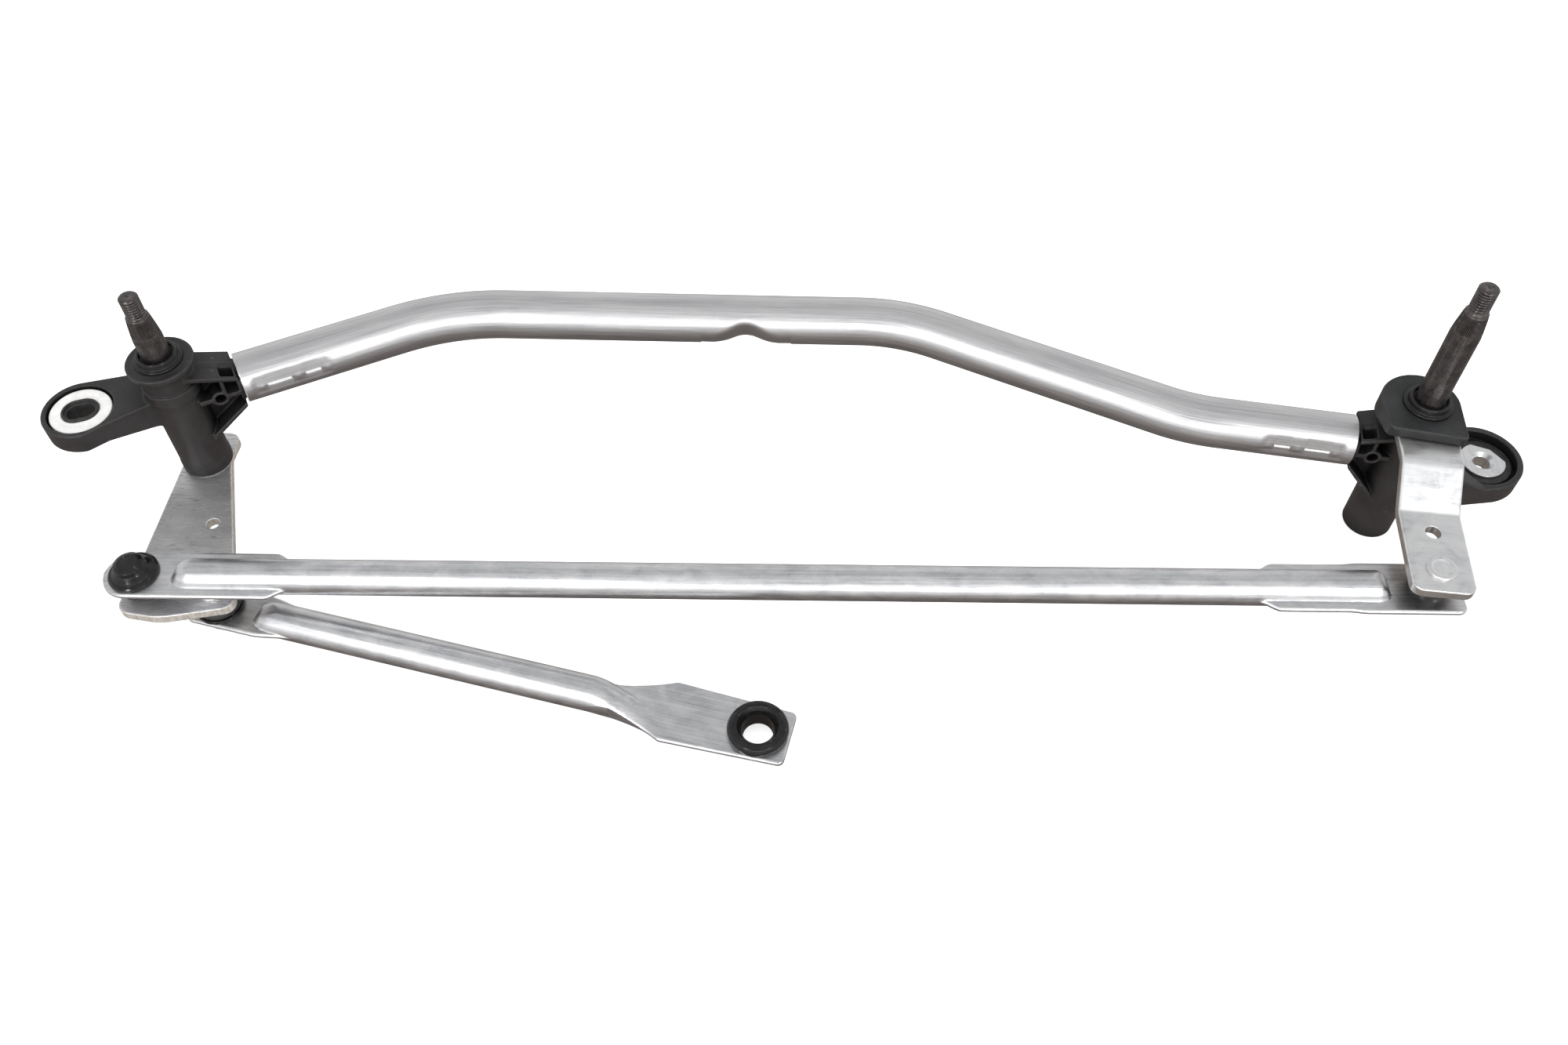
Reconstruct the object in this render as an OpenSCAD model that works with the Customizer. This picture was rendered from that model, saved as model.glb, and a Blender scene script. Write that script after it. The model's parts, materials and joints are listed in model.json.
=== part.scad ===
// Windshield wiper linkage: crossbar tube with two pivot housings, two wiper
// spindles with levers, a long connecting rod and a drive rod for the motor crank.
// Frame: origin on the left spindle axis at the middle of its thread,
// +X to the right spindle, +Y towards the crossbar (front is -Y), +Z up both spindles.
// Heights in the modules are taken from the bottom of the right pivot barrel,
// and place() moves them to that origin.

/* [Layout] */
// Distance between the two spindle axes
spindle_span = 530.7; // [480:0.1:600]
// Height of the tube centreline at the left spindle axis
tube_z = 62; // [60:0.5:64]
// Downward slope of the tube plane towards the right spindle (degrees)
tube_tilt = 1.25; // [1:0.05:1.5]
// Sideways (X) offset of both rod balls from their spindle
crank_x = -6.5; // [-8:0.1:-4]
// Y offset of both rod balls from their spindle, negative to the front
crank_y = -72.2; // [-76:0.1:-70]

/* [Crossbar tube] */
// Outer diameter of the tube
tube_d = 22; // [20:0.5:23]
// Wall thickness of the tube
tube_wall = 1.75; // [1.2:0.05:2]
// First bend point, along X
bend1_x = 107.9; // [100:0.1:115]
// First bend point, along Y
bend1_y = 59.1; // [50:0.1:65]
// Second bend point, along X
bend2_x = 314.1; // [300:0.1:325]
// Second bend point, along Y
bend2_y = 65.0; // [55:0.1:70]
// Third bend point, along X
bend3_x = 439.4; // [430:0.1:445]
// Third bend point, along Y
bend3_y = 11.0; // [8:0.1:14]
// Centreline radius of the first bend
bend1_r = 105; // [70:1:120]
// Centreline radius of the second and third bends
bend2_r = 85; // [60:1:100]
// Distance from the left spindle axis to the left tube end
tube_start = 26.9; // [25:0.1:30]
// Distance from the right spindle axis to the right tube end
tube_stop = 23.2; // [22:0.1:27]
// Depth of the crimped flats at both ends
crimp_depth = 2.6; // [1.5:0.1:3]
// Length of the crimped flats
crimp_len = 34; // [30:1:40]
// Place of the bracket notch, along X
notch_x = 243.2; // [200:0.1:290]
// Depth of the bracket notch
notch_depth = 3.4; // [2:0.1:4]
// How far the notch is turned downwards from the front of the tube (degrees)
notch_turn = 35; // [0:1:60]

/* [Pivot housings] */
// Outer diameter of both pivot barrels
barrel_d = 21.5; // [20:0.1:23]
// Bottom of the left barrel
left_bottom = 21.5; // [21.5:0.1:22]
// Top of the left flange
left_top = 84.8; // [83:0.1:86]
// Diameter of the left flange
flange_d = 28; // [26:0.5:30]
// Top of the right barrel
right_top = 66.5; // [66:0.1:66.5]
// Distance from the left spindle axis to the centre of the left ear slot
left_ear_r = 38.6; // [36:0.1:42]
// Direction of the left ear (degrees)
left_ear_a = 199.7; // [195:0.1:205]
// Top of the left ear
left_ear_top = 67; // [65:0.5:68]
// Distance from the right spindle axis to the middle of the right ear
right_ear_r = 39.3; // [37:0.1:42]
// How far the bolt sleeve sits outwards from the middle of the right ear
right_hole_shift = 2.2; // [0:0.1:3]
// Direction of the right ear (degrees)
right_ear_a = 9.1; // [5:0.1:15]
// Top of the right ear
right_ear_top = 38; // [36:0.5:39]
// Thickness of both ears at their ends
ear_t = 10; // [9:0.5:11]

/* [Spindles] */
// Shaft diameter
shaft_d = 12; // [11.9:0.05:12]
// Thread diameter, modelled as its plain major cylinder
thread_d = 8; // [8:0.5:8]
// Thread length of the left spindle
left_thread = 10; // [9:0.5:11]
// Thread length of the right spindle
right_thread = 12; // [11:0.5:13]
// Top of the left spindle
left_shaft_top = 120; // [118:0.5:124]
// Top of the right spindle
right_shaft_top = 141; // [138:0.5:144]
// Running clearance, radial
clearance = 0.04; // [0.02:0.01:0.08]

/* [Levers] */
// Plate thickness of both levers
lever_t = 4.5; // [4:0.1:4.5]
// Bottom of the left lever
left_lever_z = 16; // [16:0.1:16]
// Top of the upper flat of the right lever
right_lever_hi = 72; // [72:0.1:72]
// Top of the lower flat of the right lever
right_lever_lo = 58.7; // [57:0.1:60]
// Width of the right lever
right_lever_w = 24.5; // [24:0.1:25]
// Ball diameter of every ball stud
ball_d = 12; // [11.5:0.1:12]

/* [Rods] */
// Sideways (X) place of the drive ball under the left lever
drive_x = 23.2; // [21:0.1:26]
// Y place of the drive ball under the left lever, negative to the front
drive_y = -72.4; // [-77:0.1:-70]
// Length of the drive rod between its ball centres
drive_len = 239.4; // [200:0.1:260]
// Direction of the drive rod at rest (degrees)
drive_a = -12.9; // [-20:0.1:0]
// Outer diameter of both rolled rod tubes
rod_d = 15; // [14:0.1:15.4]
// Thickness of the flattened rod ends
rod_flat = 2.6; // [2.2:0.1:2.8]
// Width of the flattened rod ends
rod_w = 23.2; // [22:0.1:24]

/* [Hidden] */
$fn = 64;

housing_black = [0.16, 0.16, 0.17];
shaft_brown = [0.20, 0.17, 0.16];
rod_steel = [0.74, 0.75, 0.76];
thrust_white = [0.85, 0.85, 0.83];
washer_grey = [0.6, 0.6, 0.62];
socket_black = [0.09, 0.09, 0.09];

tube_r = tube_d / 2;
tube_bore_r = tube_r - tube_wall;
barrel_r = barrel_d / 2;
shaft_r = shaft_d / 2;
thread_r = thread_d / 2;
ball_r = ball_d / 2;
rod_r = rod_d / 2;
flat_half = rod_flat / 2;
thread_chamfer = 0.8;
datum = left_shaft_top - (left_thread + thread_chamfer) / 2;

left_lever_top = left_lever_z + lever_t;
right_lever_under = right_lever_lo - lever_t;
left_ball_z = 29.7;
right_ball_z = right_lever_under - 9;
drive_ball_z = 8.2;
crank_r = norm([crank_x, crank_y]);
crank_a = atan2(crank_y, crank_x);
rod_rise = right_ball_z - left_ball_z;
rod_tilt = atan2(rod_rise, spindle_span);
rod_len = norm([spindle_span, rod_rise]);

// ---- Shared helpers ----
function unit(angle) = [cos(angle), sin(angle)];
function arc_points(centre, radius, start, steps = 16, sweep = 180) =
    [for (i = [0:steps]) centre + radius * unit(start + sweep * i / steps)];

// points of the fillet at one polygon corner, or the corner itself when radius is 0
function corner(before, tip, after, radius, steps = 8) =
    let (to_before = (before - tip) / norm(before - tip),
         to_after = (after - tip) / norm(after - tip),
         half = acos(to_before * to_after) / 2,
         middle = (to_before + to_after) / norm(to_before + to_after),
         centre = tip + middle * (radius / sin(half)),
         first = tip + to_before * (radius / tan(half)) - centre,
         last = tip + to_after * (radius / tan(half)) - centre,
         start = atan2(first.y, first.x),
         turn = atan2(last.y, last.x) - start,
         sweep = turn > 180 ? turn - 360 : (turn < -180 ? turn + 360 : turn))
    radius < 0.01 ? [tip] : arc_points(centre, radius, start, steps, sweep);

// polygon from a table of [x, y, corner radius]
function rounded(table) =
    let (n = len(table), points = [for (p = table) [p.x, p.y]])
    [for (i = [0:n-1]) each corner(points[(i+n-1)%n], points[i], points[(i+1)%n], table[i].z)];

module up(z) { translate([0, 0, z]) children(); }
module place() { up(-datum) children(); }
module at_right() { translate([spindle_span, 0, 0]) children(); }
module along_x(x = 0) { translate([x, 0, 0]) rotate([0, 90, 0]) children(); }
module at_point(point, angle) {
    translate([point.x, point.y, 0]) rotate([0, 0, angle]) children();
}
module slab(thickness) { up(-thickness / 2) linear_extrude(thickness) children(); }
// profile drawn in X and Z, extruded 20 mm to each side along Y
module side_profile(points) { rotate([90, 0, 0]) slab(40) polygon(points); }
// turns a part upside down when side is -1
module facing(side) { mirror([0, 0, side > 0 ? 0 : 1]) children(); }
module stadium(radius, half) {
    translate([-half, 0]) circle(r = radius);
    translate([half, 0]) circle(r = radius);
    square([2 * half, 2 * radius], center = true);
}
// ring that runs on a spindle shaft
module shaft_ring(z, radius, height) {
    up(z) difference() {
        cylinder(r = radius, h = height);
        up(-1) cylinder(r = shaft_r + clearance, h = height + 2);
    }
}

// ---- Crossbar tube, in its own tilted plane ----
tube_span = spindle_span / cos(tube_tilt);
path = [[0, 0], [bend1_x, bend1_y], [bend2_x, bend2_y], [bend3_x, bend3_y], [tube_span, 0]];
leg = [for (i = [0:3]) path[i+1] - path[i]];
heading = [for (v = leg) atan2(v.y, v.x)];
bend_r = [0, bend1_r, bend2_r, bend2_r, 0];
// distance from each bend point to where its arc starts
trim = [for (i = [0:4])
    (i == 0 || i == 4) ? 0 : bend_r[i] * tan(abs(heading[i] - heading[i-1]) / 2)];
leg_overlap = 0.4;   // how far each straight runs into its arc
arc_swell = 0.08;    // extra radius of the arcs
crimp_inset = 5;     // from the tube end to the crimped flat
crimp_y = tube_r - crimp_depth;
notch_r = 9;

module in_tube_plane() { up(tube_z) rotate([0, tube_tilt, 0]) children(); }
// frames on a spindle axis with +X along the tube leg that leaves it
module at_left_end() { rotate([0, 0, heading[0]]) children(); }
module at_right_end() {
    translate([tube_span, 0, 0]) rotate([0, 0, heading[3] + 180]) mirror([0, 1, 0]) children();
}
module at_both_ends() {
    at_left_end() children();
    at_right_end() translate([tube_stop - tube_start, 0, 0]) children();
}

module bend_arc(i, radius) {
    turn = heading[i] - heading[i-1];
    side = turn > 0 ? 1 : -1;
    start = path[i] - trim[i] * unit(heading[i-1]);
    centre = start + side * bend_r[i] * unit(heading[i-1] + 90);
    at_point(centre, turn > 0 ? heading[i-1] - 90 : heading[i] + 90)
        rotate_extrude(angle = abs(turn), $fn = 96) translate([bend_r[i], 0]) circle(r = radius);
}

// round bar that follows the bent centreline, overshooting both tube ends
module bent_bar(radius, overshoot) {
    for (i = [0:3]) {
        from = i == 0 ? tube_start - overshoot : trim[i] - leg_overlap;
        to = i == 3 ? tube_stop - overshoot : trim[i+1] - leg_overlap;
        at_point(path[i] + from * unit(heading[i]), heading[i])
            along_x() cylinder(r = radius, h = norm(leg[i]) - from - to);
    }
    for (i = [1:3]) bend_arc(i, radius + arc_swell);
}

// cutters for the crimped flat and the notch; grow enlarges them for inside the wall
module crimp_box(grow) {
    translate([tube_start + crimp_inset - grow, -tube_r - 12, -14])
        cube([crimp_len + 2 * grow, 12 + tube_r - crimp_y + grow, 28]);
}
module notch(grow) {
    centre = path[1] + (notch_x - bend1_x) / cos(heading[1]) * unit(heading[1]);
    at_point(centre, heading[1]) rotate([notch_turn, 0, 0])
        translate([0, notch_depth - tube_r - notch_r, -15]) cylinder(r = notch_r + grow, h = 30);
}

module crossbar_tube() {
    color([0.76, 0.76, 0.77]) in_tube_plane() difference() {
        bent_bar(tube_r, 0);
        difference() {
            bent_bar(tube_bore_r, 1);
            at_both_ends() crimp_box(tube_wall);
            notch(tube_wall);
        }
        at_both_ends() {
            crimp_box(0);
            // grooves in the flat: [distance from the tube end, length]
            for (groove = [[9.3, 11.7], [26, 7.8]])
                translate([tube_start + groove[0], -crimp_y - 1, -0.6])
                    cube([groove[1], 1.8, 1.2]);
        }
        notch(0);
    }
}

// ---- Pivot housings ----
bush_r = 8;
bush_len = 12;
right_recess = 5;    // wider opening below the right lower bush
left_seal = 2.4;     // depth of the O-ring seat in the barrel top
right_seal = 2.3;
web_w = 18.6;
web_root = barrel_r - 3;
collar_r = 9;
plug_gap = 0.05;
left_ear_bottom = left_ear_top - ear_t;
right_ear_bottom = right_ear_top - ear_t;
left_pocket = 3;     // depth of the round pocket in the top of each ear
right_pocket = 5;
slot_r = 6.4;
slot_half = 1.4;
grommet_r = 8;
sleeve_r = 5.2;

function web_boss_x(tube_x) = web_root + (tube_x - web_root) * 0.46;

// ribs from a barrel to the tube end at tube_x, with the plug inside the tube;
// rise and drop are the rib heights at the barrel
module pivot_web(tube_x, rise, drop) {
    end_x = tube_x - 1;
    rotate([90, 0, 0]) {
        slab(3) polygon([[web_root, 1 - drop], [tube_x, -8], [tube_x, 8], [web_root, rise - 1]]);
        slab(web_w) polygon([[web_root - 2, rise - 2.6], [end_x, 6.6], [end_x, 8.6],
            [web_root - 2, rise]]);
        slab(web_w) polygon([[web_root, -drop], [end_x, -8.8], [end_x, -6.4],
            [web_root, 3 - drop]]);
        slab(web_w) polygon([[web_root, -1.2], [end_x, -1.2], [end_x, 1.2], [web_root, 1.2]]);
        translate([web_boss_x(tube_x), 0, -web_w / 2]) cylinder(r = 3.8, h = web_w);
    }
    // collar against the tube end, in two steps
    along_x(tube_x - 4.5) cylinder(r = collar_r, h = 4.5);
    translate([tube_x - 7.5, -collar_r, -collar_r]) intersection() {
        cube([3, 2 * collar_r, 2 * collar_r]);
        translate([-1, collar_r, collar_r]) along_x() cylinder(r = collar_r, h = 6);
    }
    // plug, flattened to suit the crimp
    intersection() {
        along_x(tube_x - 0.2) cylinder(r = tube_bore_r - plug_gap, h = crimp_len + 10);
        translate([tube_x - 1, -(crimp_y - tube_wall - plug_gap), -12])
            cube([crimp_len + 12, 24, 24]);
    }
}
module web_hole(tube_x) {
    translate([web_boss_x(tube_x), 12, 0]) rotate([90, 0, 0]) cylinder(r = 2.3, h = 24);
}

// lower bush bore, relieved middle, upper bush bore and O-ring seat
module barrel_bore(bottom, top, seal) {
    up(bottom - 1) {
        cylinder(r = bush_r, h = bush_len + 1);
        cylinder(r = 7.2, h = 60);
    }
    up(top - seal - bush_len) cylinder(r = bush_r, h = 20);
    up(top - seal) cylinder(r = 8.3, h = 5);
}

module at_left_slot() { rotate([0, 0, left_ear_a]) translate([left_ear_r, 0, 0]) children(); }
module at_right_ear() {
    at_right() rotate([0, 0, right_ear_a]) translate([right_ear_r, 0, 0]) children();
}
module at_right_hole() { at_right_ear() translate([right_hole_shift, 0, 0]) children(); }

module left_ear_arm() {
    bottom = left_ear_bottom;
    root = bottom - 3.5;
    rotate([0, 0, left_ear_a]) intersection() {
        up(bottom - 6) linear_extrude(ear_t + 6)
            polygon(concat([[0, -barrel_r + 0.5], [9, -14.6]],
                arc_points([left_ear_r - 0.3, 0], 16.3, -90),
                [[29, 12.6], [12, 6.8], [0, 6.5]]));
        side_profile([[-2, root], [12, root], [30, bottom], [60, bottom],
            [60, left_ear_top], [-2, left_ear_top]]);
    }
}

module left_pivot_housing() {
    color(housing_black) difference() {
        union() {
            up(left_bottom) cylinder(r = barrel_r, h = left_top - left_bottom);
            up(left_top - 2.5) cylinder(r = flange_d / 2, h = 2.5);
            in_tube_plane() at_left_end() pivot_web(tube_start, rise = 16.5, drop = 22.5);
            left_ear_arm();
        }
        in_tube_plane() at_left_end() web_hole(tube_start);
        barrel_bore(left_bottom, left_top, left_seal);
        at_left_slot() {
            up(left_ear_top - left_pocket) cylinder(r = 13.8, h = 5);
            up(left_ear_top - 20) linear_extrude(30) stadium(slot_r, slot_half);
        }
    }
}

module right_ear_arm() {
    bottom = right_ear_bottom;
    top = right_ear_top;
    rotate([0, 0, right_ear_a]) intersection() {
        up(bottom) linear_extrude(ear_t + 14)
            polygon(concat([[0, -barrel_r + 1], [10, -16.5], [22, -18.2]],
                arc_points([right_ear_r, 0], 18.4, -90),
                [[22, 18.2], [10, 14.5], [0, barrel_r - 1]]));
        side_profile([[-2, bottom], [60, bottom], [60, top], [33, top],
            [24, top + 5], [8, top + 12], [-2, top + 12]]);
    }
}

module right_pivot_housing() {
    color(housing_black) difference() {
        union() {
            at_right() cylinder(r = barrel_r, h = right_top);
            in_tube_plane() at_right_end() pivot_web(tube_stop, rise = 14.2, drop = 25.4);
            at_right() right_ear_arm();
        }
        in_tube_plane() at_right_end() web_hole(tube_stop);
        at_right() {
            up(-1) cylinder(r = 9, h = right_recess + 1);
            barrel_bore(right_recess, right_top, right_seal);
        }
        at_right_ear() up(right_ear_top - right_pocket) cylinder(r = 15.7, h = 20);
        at_right_hole() cylinder(r = grommet_r, h = 60);
    }
}

// ---- Bushes and O-rings ----
module bush(z) { color([0.62, 0.48, 0.30]) shaft_ring(z, bush_r, bush_len); }
module o_ring(z) {
    color([0.08, 0.08, 0.08]) up(z)
        rotate_extrude() translate([shaft_r + 1.12, 0]) circle(r = 1.05);
}
module left_lower_bush() { bush(left_bottom); }
module left_upper_bush() { bush(left_top - left_seal - bush_len); }
module right_lower_bush() { at_right() bush(right_recess); }
module right_upper_bush() { at_right() bush(right_top - right_seal - bush_len); }
module left_o_ring() { o_ring(left_top - left_seal / 2); }
module right_o_ring() { at_right() o_ring(right_top - right_seal / 2); }

// ---- Ear fittings ----
module left_ear_washer() {
    color([0.93, 0.93, 0.92]) at_left_slot() up(left_ear_top - left_pocket) linear_extrude(1.8)
        difference() {
            circle(r = 12.9);
            stadium(slot_r, slot_half);
        }
}
module left_ear_grommet() {
    color([0.13, 0.13, 0.13]) at_left_slot() up(left_ear_bottom) linear_extrude(ear_t - 0.3)
        difference() {
            stadium(slot_r, slot_half);
            stadium(4.1, 1.7);
        }
}
module right_ear_grommet() {
    color([0.10, 0.10, 0.10]) at_right_hole() up(right_ear_bottom) difference() {
        union() {
            cylinder(r = grommet_r, h = 6);
            up(5) cylinder(r = 12.8, h = 1.4);
        }
        up(-1) cylinder(r = sleeve_r, h = 10);
    }
}
// sleeve whose round flange is cut by two straight edges
module right_ear_sleeve() {
    edge = 7.6;
    color([0.82, 0.84, 0.86]) at_right_hole() up(right_ear_bottom) difference() {
        union() {
            cylinder(r = sleeve_r, h = 7);
            intersection() {
                up(6.4) cylinder(r = 9.8, h = 1.3);
                rotate([0, 0, 150]) translate([-12, -edge, 0]) cube([24, 24, 10]);
                rotate([0, 0, 205]) translate([-edge, -12, 0]) cube([24, 24, 10]);
            }
        }
        up(-1) cylinder(r = 3.5, h = 12);
    }
}

// ---- Spindles ----
taper_len = 12;
clip_t = 1;
clip_slack = 0.03;   // gap between a retaining ring and each side of its groove
left_clip_z = left_top + 0.8;
right_clip_z = 2.2;
journal_r = 5;       // reduced end of the left shaft, through its lever

// running diameter, taper, thread and end chamfer
module spindle(bottom, top, thread_len) {
    taper_z = top - thread_len - taper_len;
    up(bottom) cylinder(r = shaft_r, h = taper_z - bottom);
    up(taper_z) cylinder(r1 = shaft_r, r2 = thread_r + 0.6, h = taper_len);
    up(top - thread_len - 0.5) cylinder(r = thread_r, h = thread_len + 0.5 - thread_chamfer);
    up(top - thread_chamfer)
        cylinder(r1 = thread_r, r2 = thread_r - thread_chamfer, h = thread_chamfer);
}
module clip_groove(clip_z) {
    up(clip_z - clip_slack) difference() {
        cylinder(r = shaft_r + 1, h = clip_t + 2 * clip_slack);
        up(-1) cylinder(r = shaft_r - 0.7, h = 4);
    }
}
module retaining_ring(z) {
    gap = 2.8;
    color([0.25, 0.25, 0.26]) up(z) difference() {
        cylinder(r = 7.7, h = clip_t);
        up(-1) cylinder(r = shaft_r - 0.68, h = 3);
        rotate([0, 0, 60]) translate([2, -gap / 2, -1]) cube([10, gap, 3]);
    }
}
module left_spindle_shaft() {
    head_h = 1.8;
    color(shaft_brown) difference() {
        union() {
            spindle(left_lever_top, left_shaft_top, left_thread);
            up(left_lever_z - 0.5) cylinder(r = journal_r, h = lever_t + 1);
            up(left_lever_z - head_h) cylinder(r = 6.6, h = head_h);
        }
        clip_groove(left_clip_z);
    }
}
module right_spindle_shaft() {
    color(shaft_brown) at_right() difference() {
        spindle(1, right_shaft_top, right_thread);
        clip_groove(right_clip_z);
    }
}
module left_retaining_ring() { retaining_ring(left_clip_z); }
module right_retaining_ring() { at_right() retaining_ring(right_clip_z); }

// ---- Washers and splash collars ----
thrust_r = 9.6;
stack_gap = 0.06;
cover_top = 77;

module left_thrust_washer() {
    color(thrust_white)
        shaft_ring(left_lever_top, thrust_r, left_bottom - left_lever_top - stack_gap);
}
module right_thrust_washer() {
    z = right_top + stack_gap;
    color(thrust_white) at_right() shaft_ring(z, thrust_r, right_lever_hi - lever_t - z);
}
module left_top_washer() { color(washer_grey) shaft_ring(left_top + 0.05, 7.9, 0.65); }
module right_bottom_washer() {
    color(washer_grey) at_right() shaft_ring(right_clip_z + clip_t + 0.05, 8.6, 1.7);
}
module splash_collar(z) {
    color([0.07, 0.07, 0.07]) up(z) difference() {
        union() {
            cylinder(r = 10, h = 1.2);
            cylinder(r = 9, h = 3.4);
            up(3.4) cylinder(r1 = 9, r2 = 8.4, h = 0.6);
        }
        up(-1) cylinder(r = 8.2, h = 3);
        up(-1) cylinder(r = shaft_r, h = 8);
        up(3.2) cylinder(r = 7.2, h = 2);
    }
}
module left_splash_collar() { splash_collar(left_top + stack_gap); }
module right_splash_collar() { at_right() splash_collar(cover_top); }

// ---- Levers and ball studs ----
shank_r = 4;
// outline of the left lever: [x, y, corner radius]
left_lever_outline = [[-10.6, 17, 8], [-12.4, -55, 0], [-15, -84.5, 6], [4, -87.2, 30],
    [34.8, -80.5, 5], [9.3, 3, 6], [10.2, 17.2, 5]];
// holes of the left lever: [x, y, radius]
left_lever_holes = [[0, 0, journal_r], [12.5, -36.6, 2.8],
    [crank_x, crank_y, shank_r], [drive_x, drive_y, shank_r]];

module left_spindle_lever() {
    color(rod_steel) difference() {
        up(left_lever_z) linear_extrude(lever_t) polygon(rounded(left_lever_outline));
        for (hole = left_lever_holes)
            translate([hole.x, hole.y, left_lever_z - 1]) cylinder(r = hole.z, h = 8);
    }
}

// face is the lever face under the collar; side is +1 above the lever, -1 below it
module ball_stud(face, ball_z, side) {
    reach = abs(ball_z - face);
    head_h = 1.3;
    color([0.70, 0.71, 0.72]) up(face) facing(side) {
        up(reach) sphere(r = ball_r, $fn = 64);
        up(1) cylinder(r = 3.5, h = reach - 1);
        cylinder(r = 5.8, h = 1.6);
        up(-lever_t - 0.6) cylinder(r = shank_r, h = lever_t + 1.2);
        up(-lever_t - head_h) cylinder(r = 5.9, h = head_h);
    }
}
module left_rod_ball_stud() {
    translate([crank_x, crank_y, 0]) ball_stud(left_lever_top, left_ball_z, 1);
}
module left_drive_ball_stud() {
    translate([drive_x, drive_y, 0]) ball_stud(left_lever_z, drive_ball_z, -1);
}
module right_rod_ball_stud() {
    at_right() translate([crank_x, crank_y, 0]) ball_stud(right_lever_under, right_ball_z, -1);
}

// plan of the right lever along +X: round at the spindle, rounded corners at the tip
module right_lever_plan() {
    half = right_lever_w / 2;
    tip = crank_r + 11.2;
    polygon(concat(arc_points([0, 0], half, 90),
        corner([0, -half], [tip, -half], [tip, half], 4.5, 6),
        corner([tip, -half], [tip, half], [0, half], 4.5, 6)));
}
// cranked plate that steps down from the spindle to the ball
module right_spindle_lever() {
    hi = right_lever_hi;
    lo = right_lever_lo;
    step_start = 27;
    step_end = 44.5;
    // shift of the lower bend lines that keeps the plate thickness in the slope
    shift = lever_t * tan(atan2(hi - lo, step_end - step_start) / 2);
    color([0.76, 0.77, 0.78]) at_right() rotate([0, 0, crank_a]) difference() {
        intersection() {
            up(lo - 10) linear_extrude(hi - lo + 20) right_lever_plan();
            side_profile([[-20, hi], [-20, hi - lever_t], [step_start - shift, hi - lever_t],
                [step_end - shift, lo - lever_t], [120, lo - lever_t], [120, lo],
                [step_end, lo], [step_start, hi]]);
        }
        up(lo) cylinder(r = shaft_r, h = 30);
        translate([53.8, 0, lo - 10]) cylinder(r = 3.1, h = 20);
        translate([crank_r, 0, lo - 10]) cylinder(r = shank_r, h = 20);
    }
}

// plan of the lever cover, moved inwards by inset
function cover_outline(inset) =
    let (left = -18.4 + inset, right = 12.2 - inset, shoulder = -13.8 + inset)
    concat(arc_points([-2.2, 1], 16.2 - inset, 0, 20),
        corner([left, 1], [left, shoulder], [right, -19.5 + inset], 2.6 - inset, 5),
        corner([left, shoulder], [right, -19.6 + inset], [14 - inset, 1], 1.8 - inset, 4));
module right_lever_cover() {
    bottom = 67.2;
    color([0.15, 0.15, 0.16]) at_right() difference() {
        up(bottom) linear_extrude(cover_top - bottom) polygon(cover_outline(0));
        up(60) linear_extrude(15) polygon(cover_outline(1.2));
        up(60) cylinder(r = shaft_r, h = 30);
        // raises the lower edge of the skirt towards -Y: x here points down, y along +Y
        translate([0, -40, 60]) rotate([0, 90, 0]) slab(80)
            polygon([[0, 0], [-12.35, 0], [-12.35, 25], [-7.2, 44], [0, 44]]);
    }
}

// ---- Rods, with X from ball to ball ----
socket_r = 7.6;
motor_socket_r = 9.6;
cavity_r = ball_r + 0.06;
mouth_r = 4.9;
half_w = rod_w / 2;
// +Y edges of the flattened ends, from the tip inwards:
// [x from the ball centre, y, corner radius]
long_left_edge = [[-13, half_w, half_w - 1], [60, half_w, 3], [76, 2, 0]];
long_right_edge = [[-12.4, half_w + 0.7, 3.5], [26, half_w + 0.7, 8], [34, half_w, 8],
    [64, half_w, 3], [80, 2, 0]];
drive_lever_edge = [[-12.4, 10.3, 4.5], [20, 10.3, 6], [44, 5, 0]];
drive_motor_edge = [[-13.4, 12.3, 2.5], [37, 14, 4], [62, 6, 0]];

module on_long_rod() {
    translate([crank_x, crank_y, left_ball_z]) rotate([0, -rod_tilt, 0]) children();
}
module on_drive_rod() {
    translate([drive_x, drive_y, drive_ball_z]) rotate([0, 0, drive_a]) children();
}

module rod_end(edge, hole_r) {
    outline = concat([for (p = edge) [p.x, -p.y, p.z]],
        [for (i = [len(edge)-1:-1:0]) edge[i]]);
    up(-flat_half) difference() {
        linear_extrude(rod_flat) polygon(rounded(outline));
        up(-1) cylinder(r = hole_r, h = 6);
    }
}
// flat ends with a rolled tube between x = from and x = to, and its seam underneath
module pressed_rod(length, from, to, near_edge, far_edge, far_hole_r) {
    cone_len = 12;
    seam_w = 0.8;
    difference() {
        union() {
            along_x(from) cylinder(r = rod_r, h = to - from);
            along_x(from - cone_len) cylinder(r1 = flat_half, r2 = rod_r, h = cone_len);
            along_x(to) cylinder(r1 = rod_r, r2 = flat_half, h = cone_len);
            rod_end(near_edge, socket_r);
            translate([length, 0, 0]) mirror([1, 0, 0]) rod_end(far_edge, far_hole_r);
        }
        along_x(from) cylinder(r = rod_r - 1.3, h = to - from);
        translate([from + 20, -seam_w / 2, -rod_r - 2]) cube([to - from - 40, seam_w, 5]);
    }
}
module long_connecting_rod() {
    color(rod_steel) on_long_rod()
        pressed_rod(rod_len, 26, rod_len - 38, long_left_edge, long_right_edge, socket_r);
}
module drive_rod() {
    color(rod_steel) on_drive_rod() pressed_rod(drive_len, 30, drive_len - 62,
        drive_lever_edge, drive_motor_edge, motor_socket_r);
}

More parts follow.
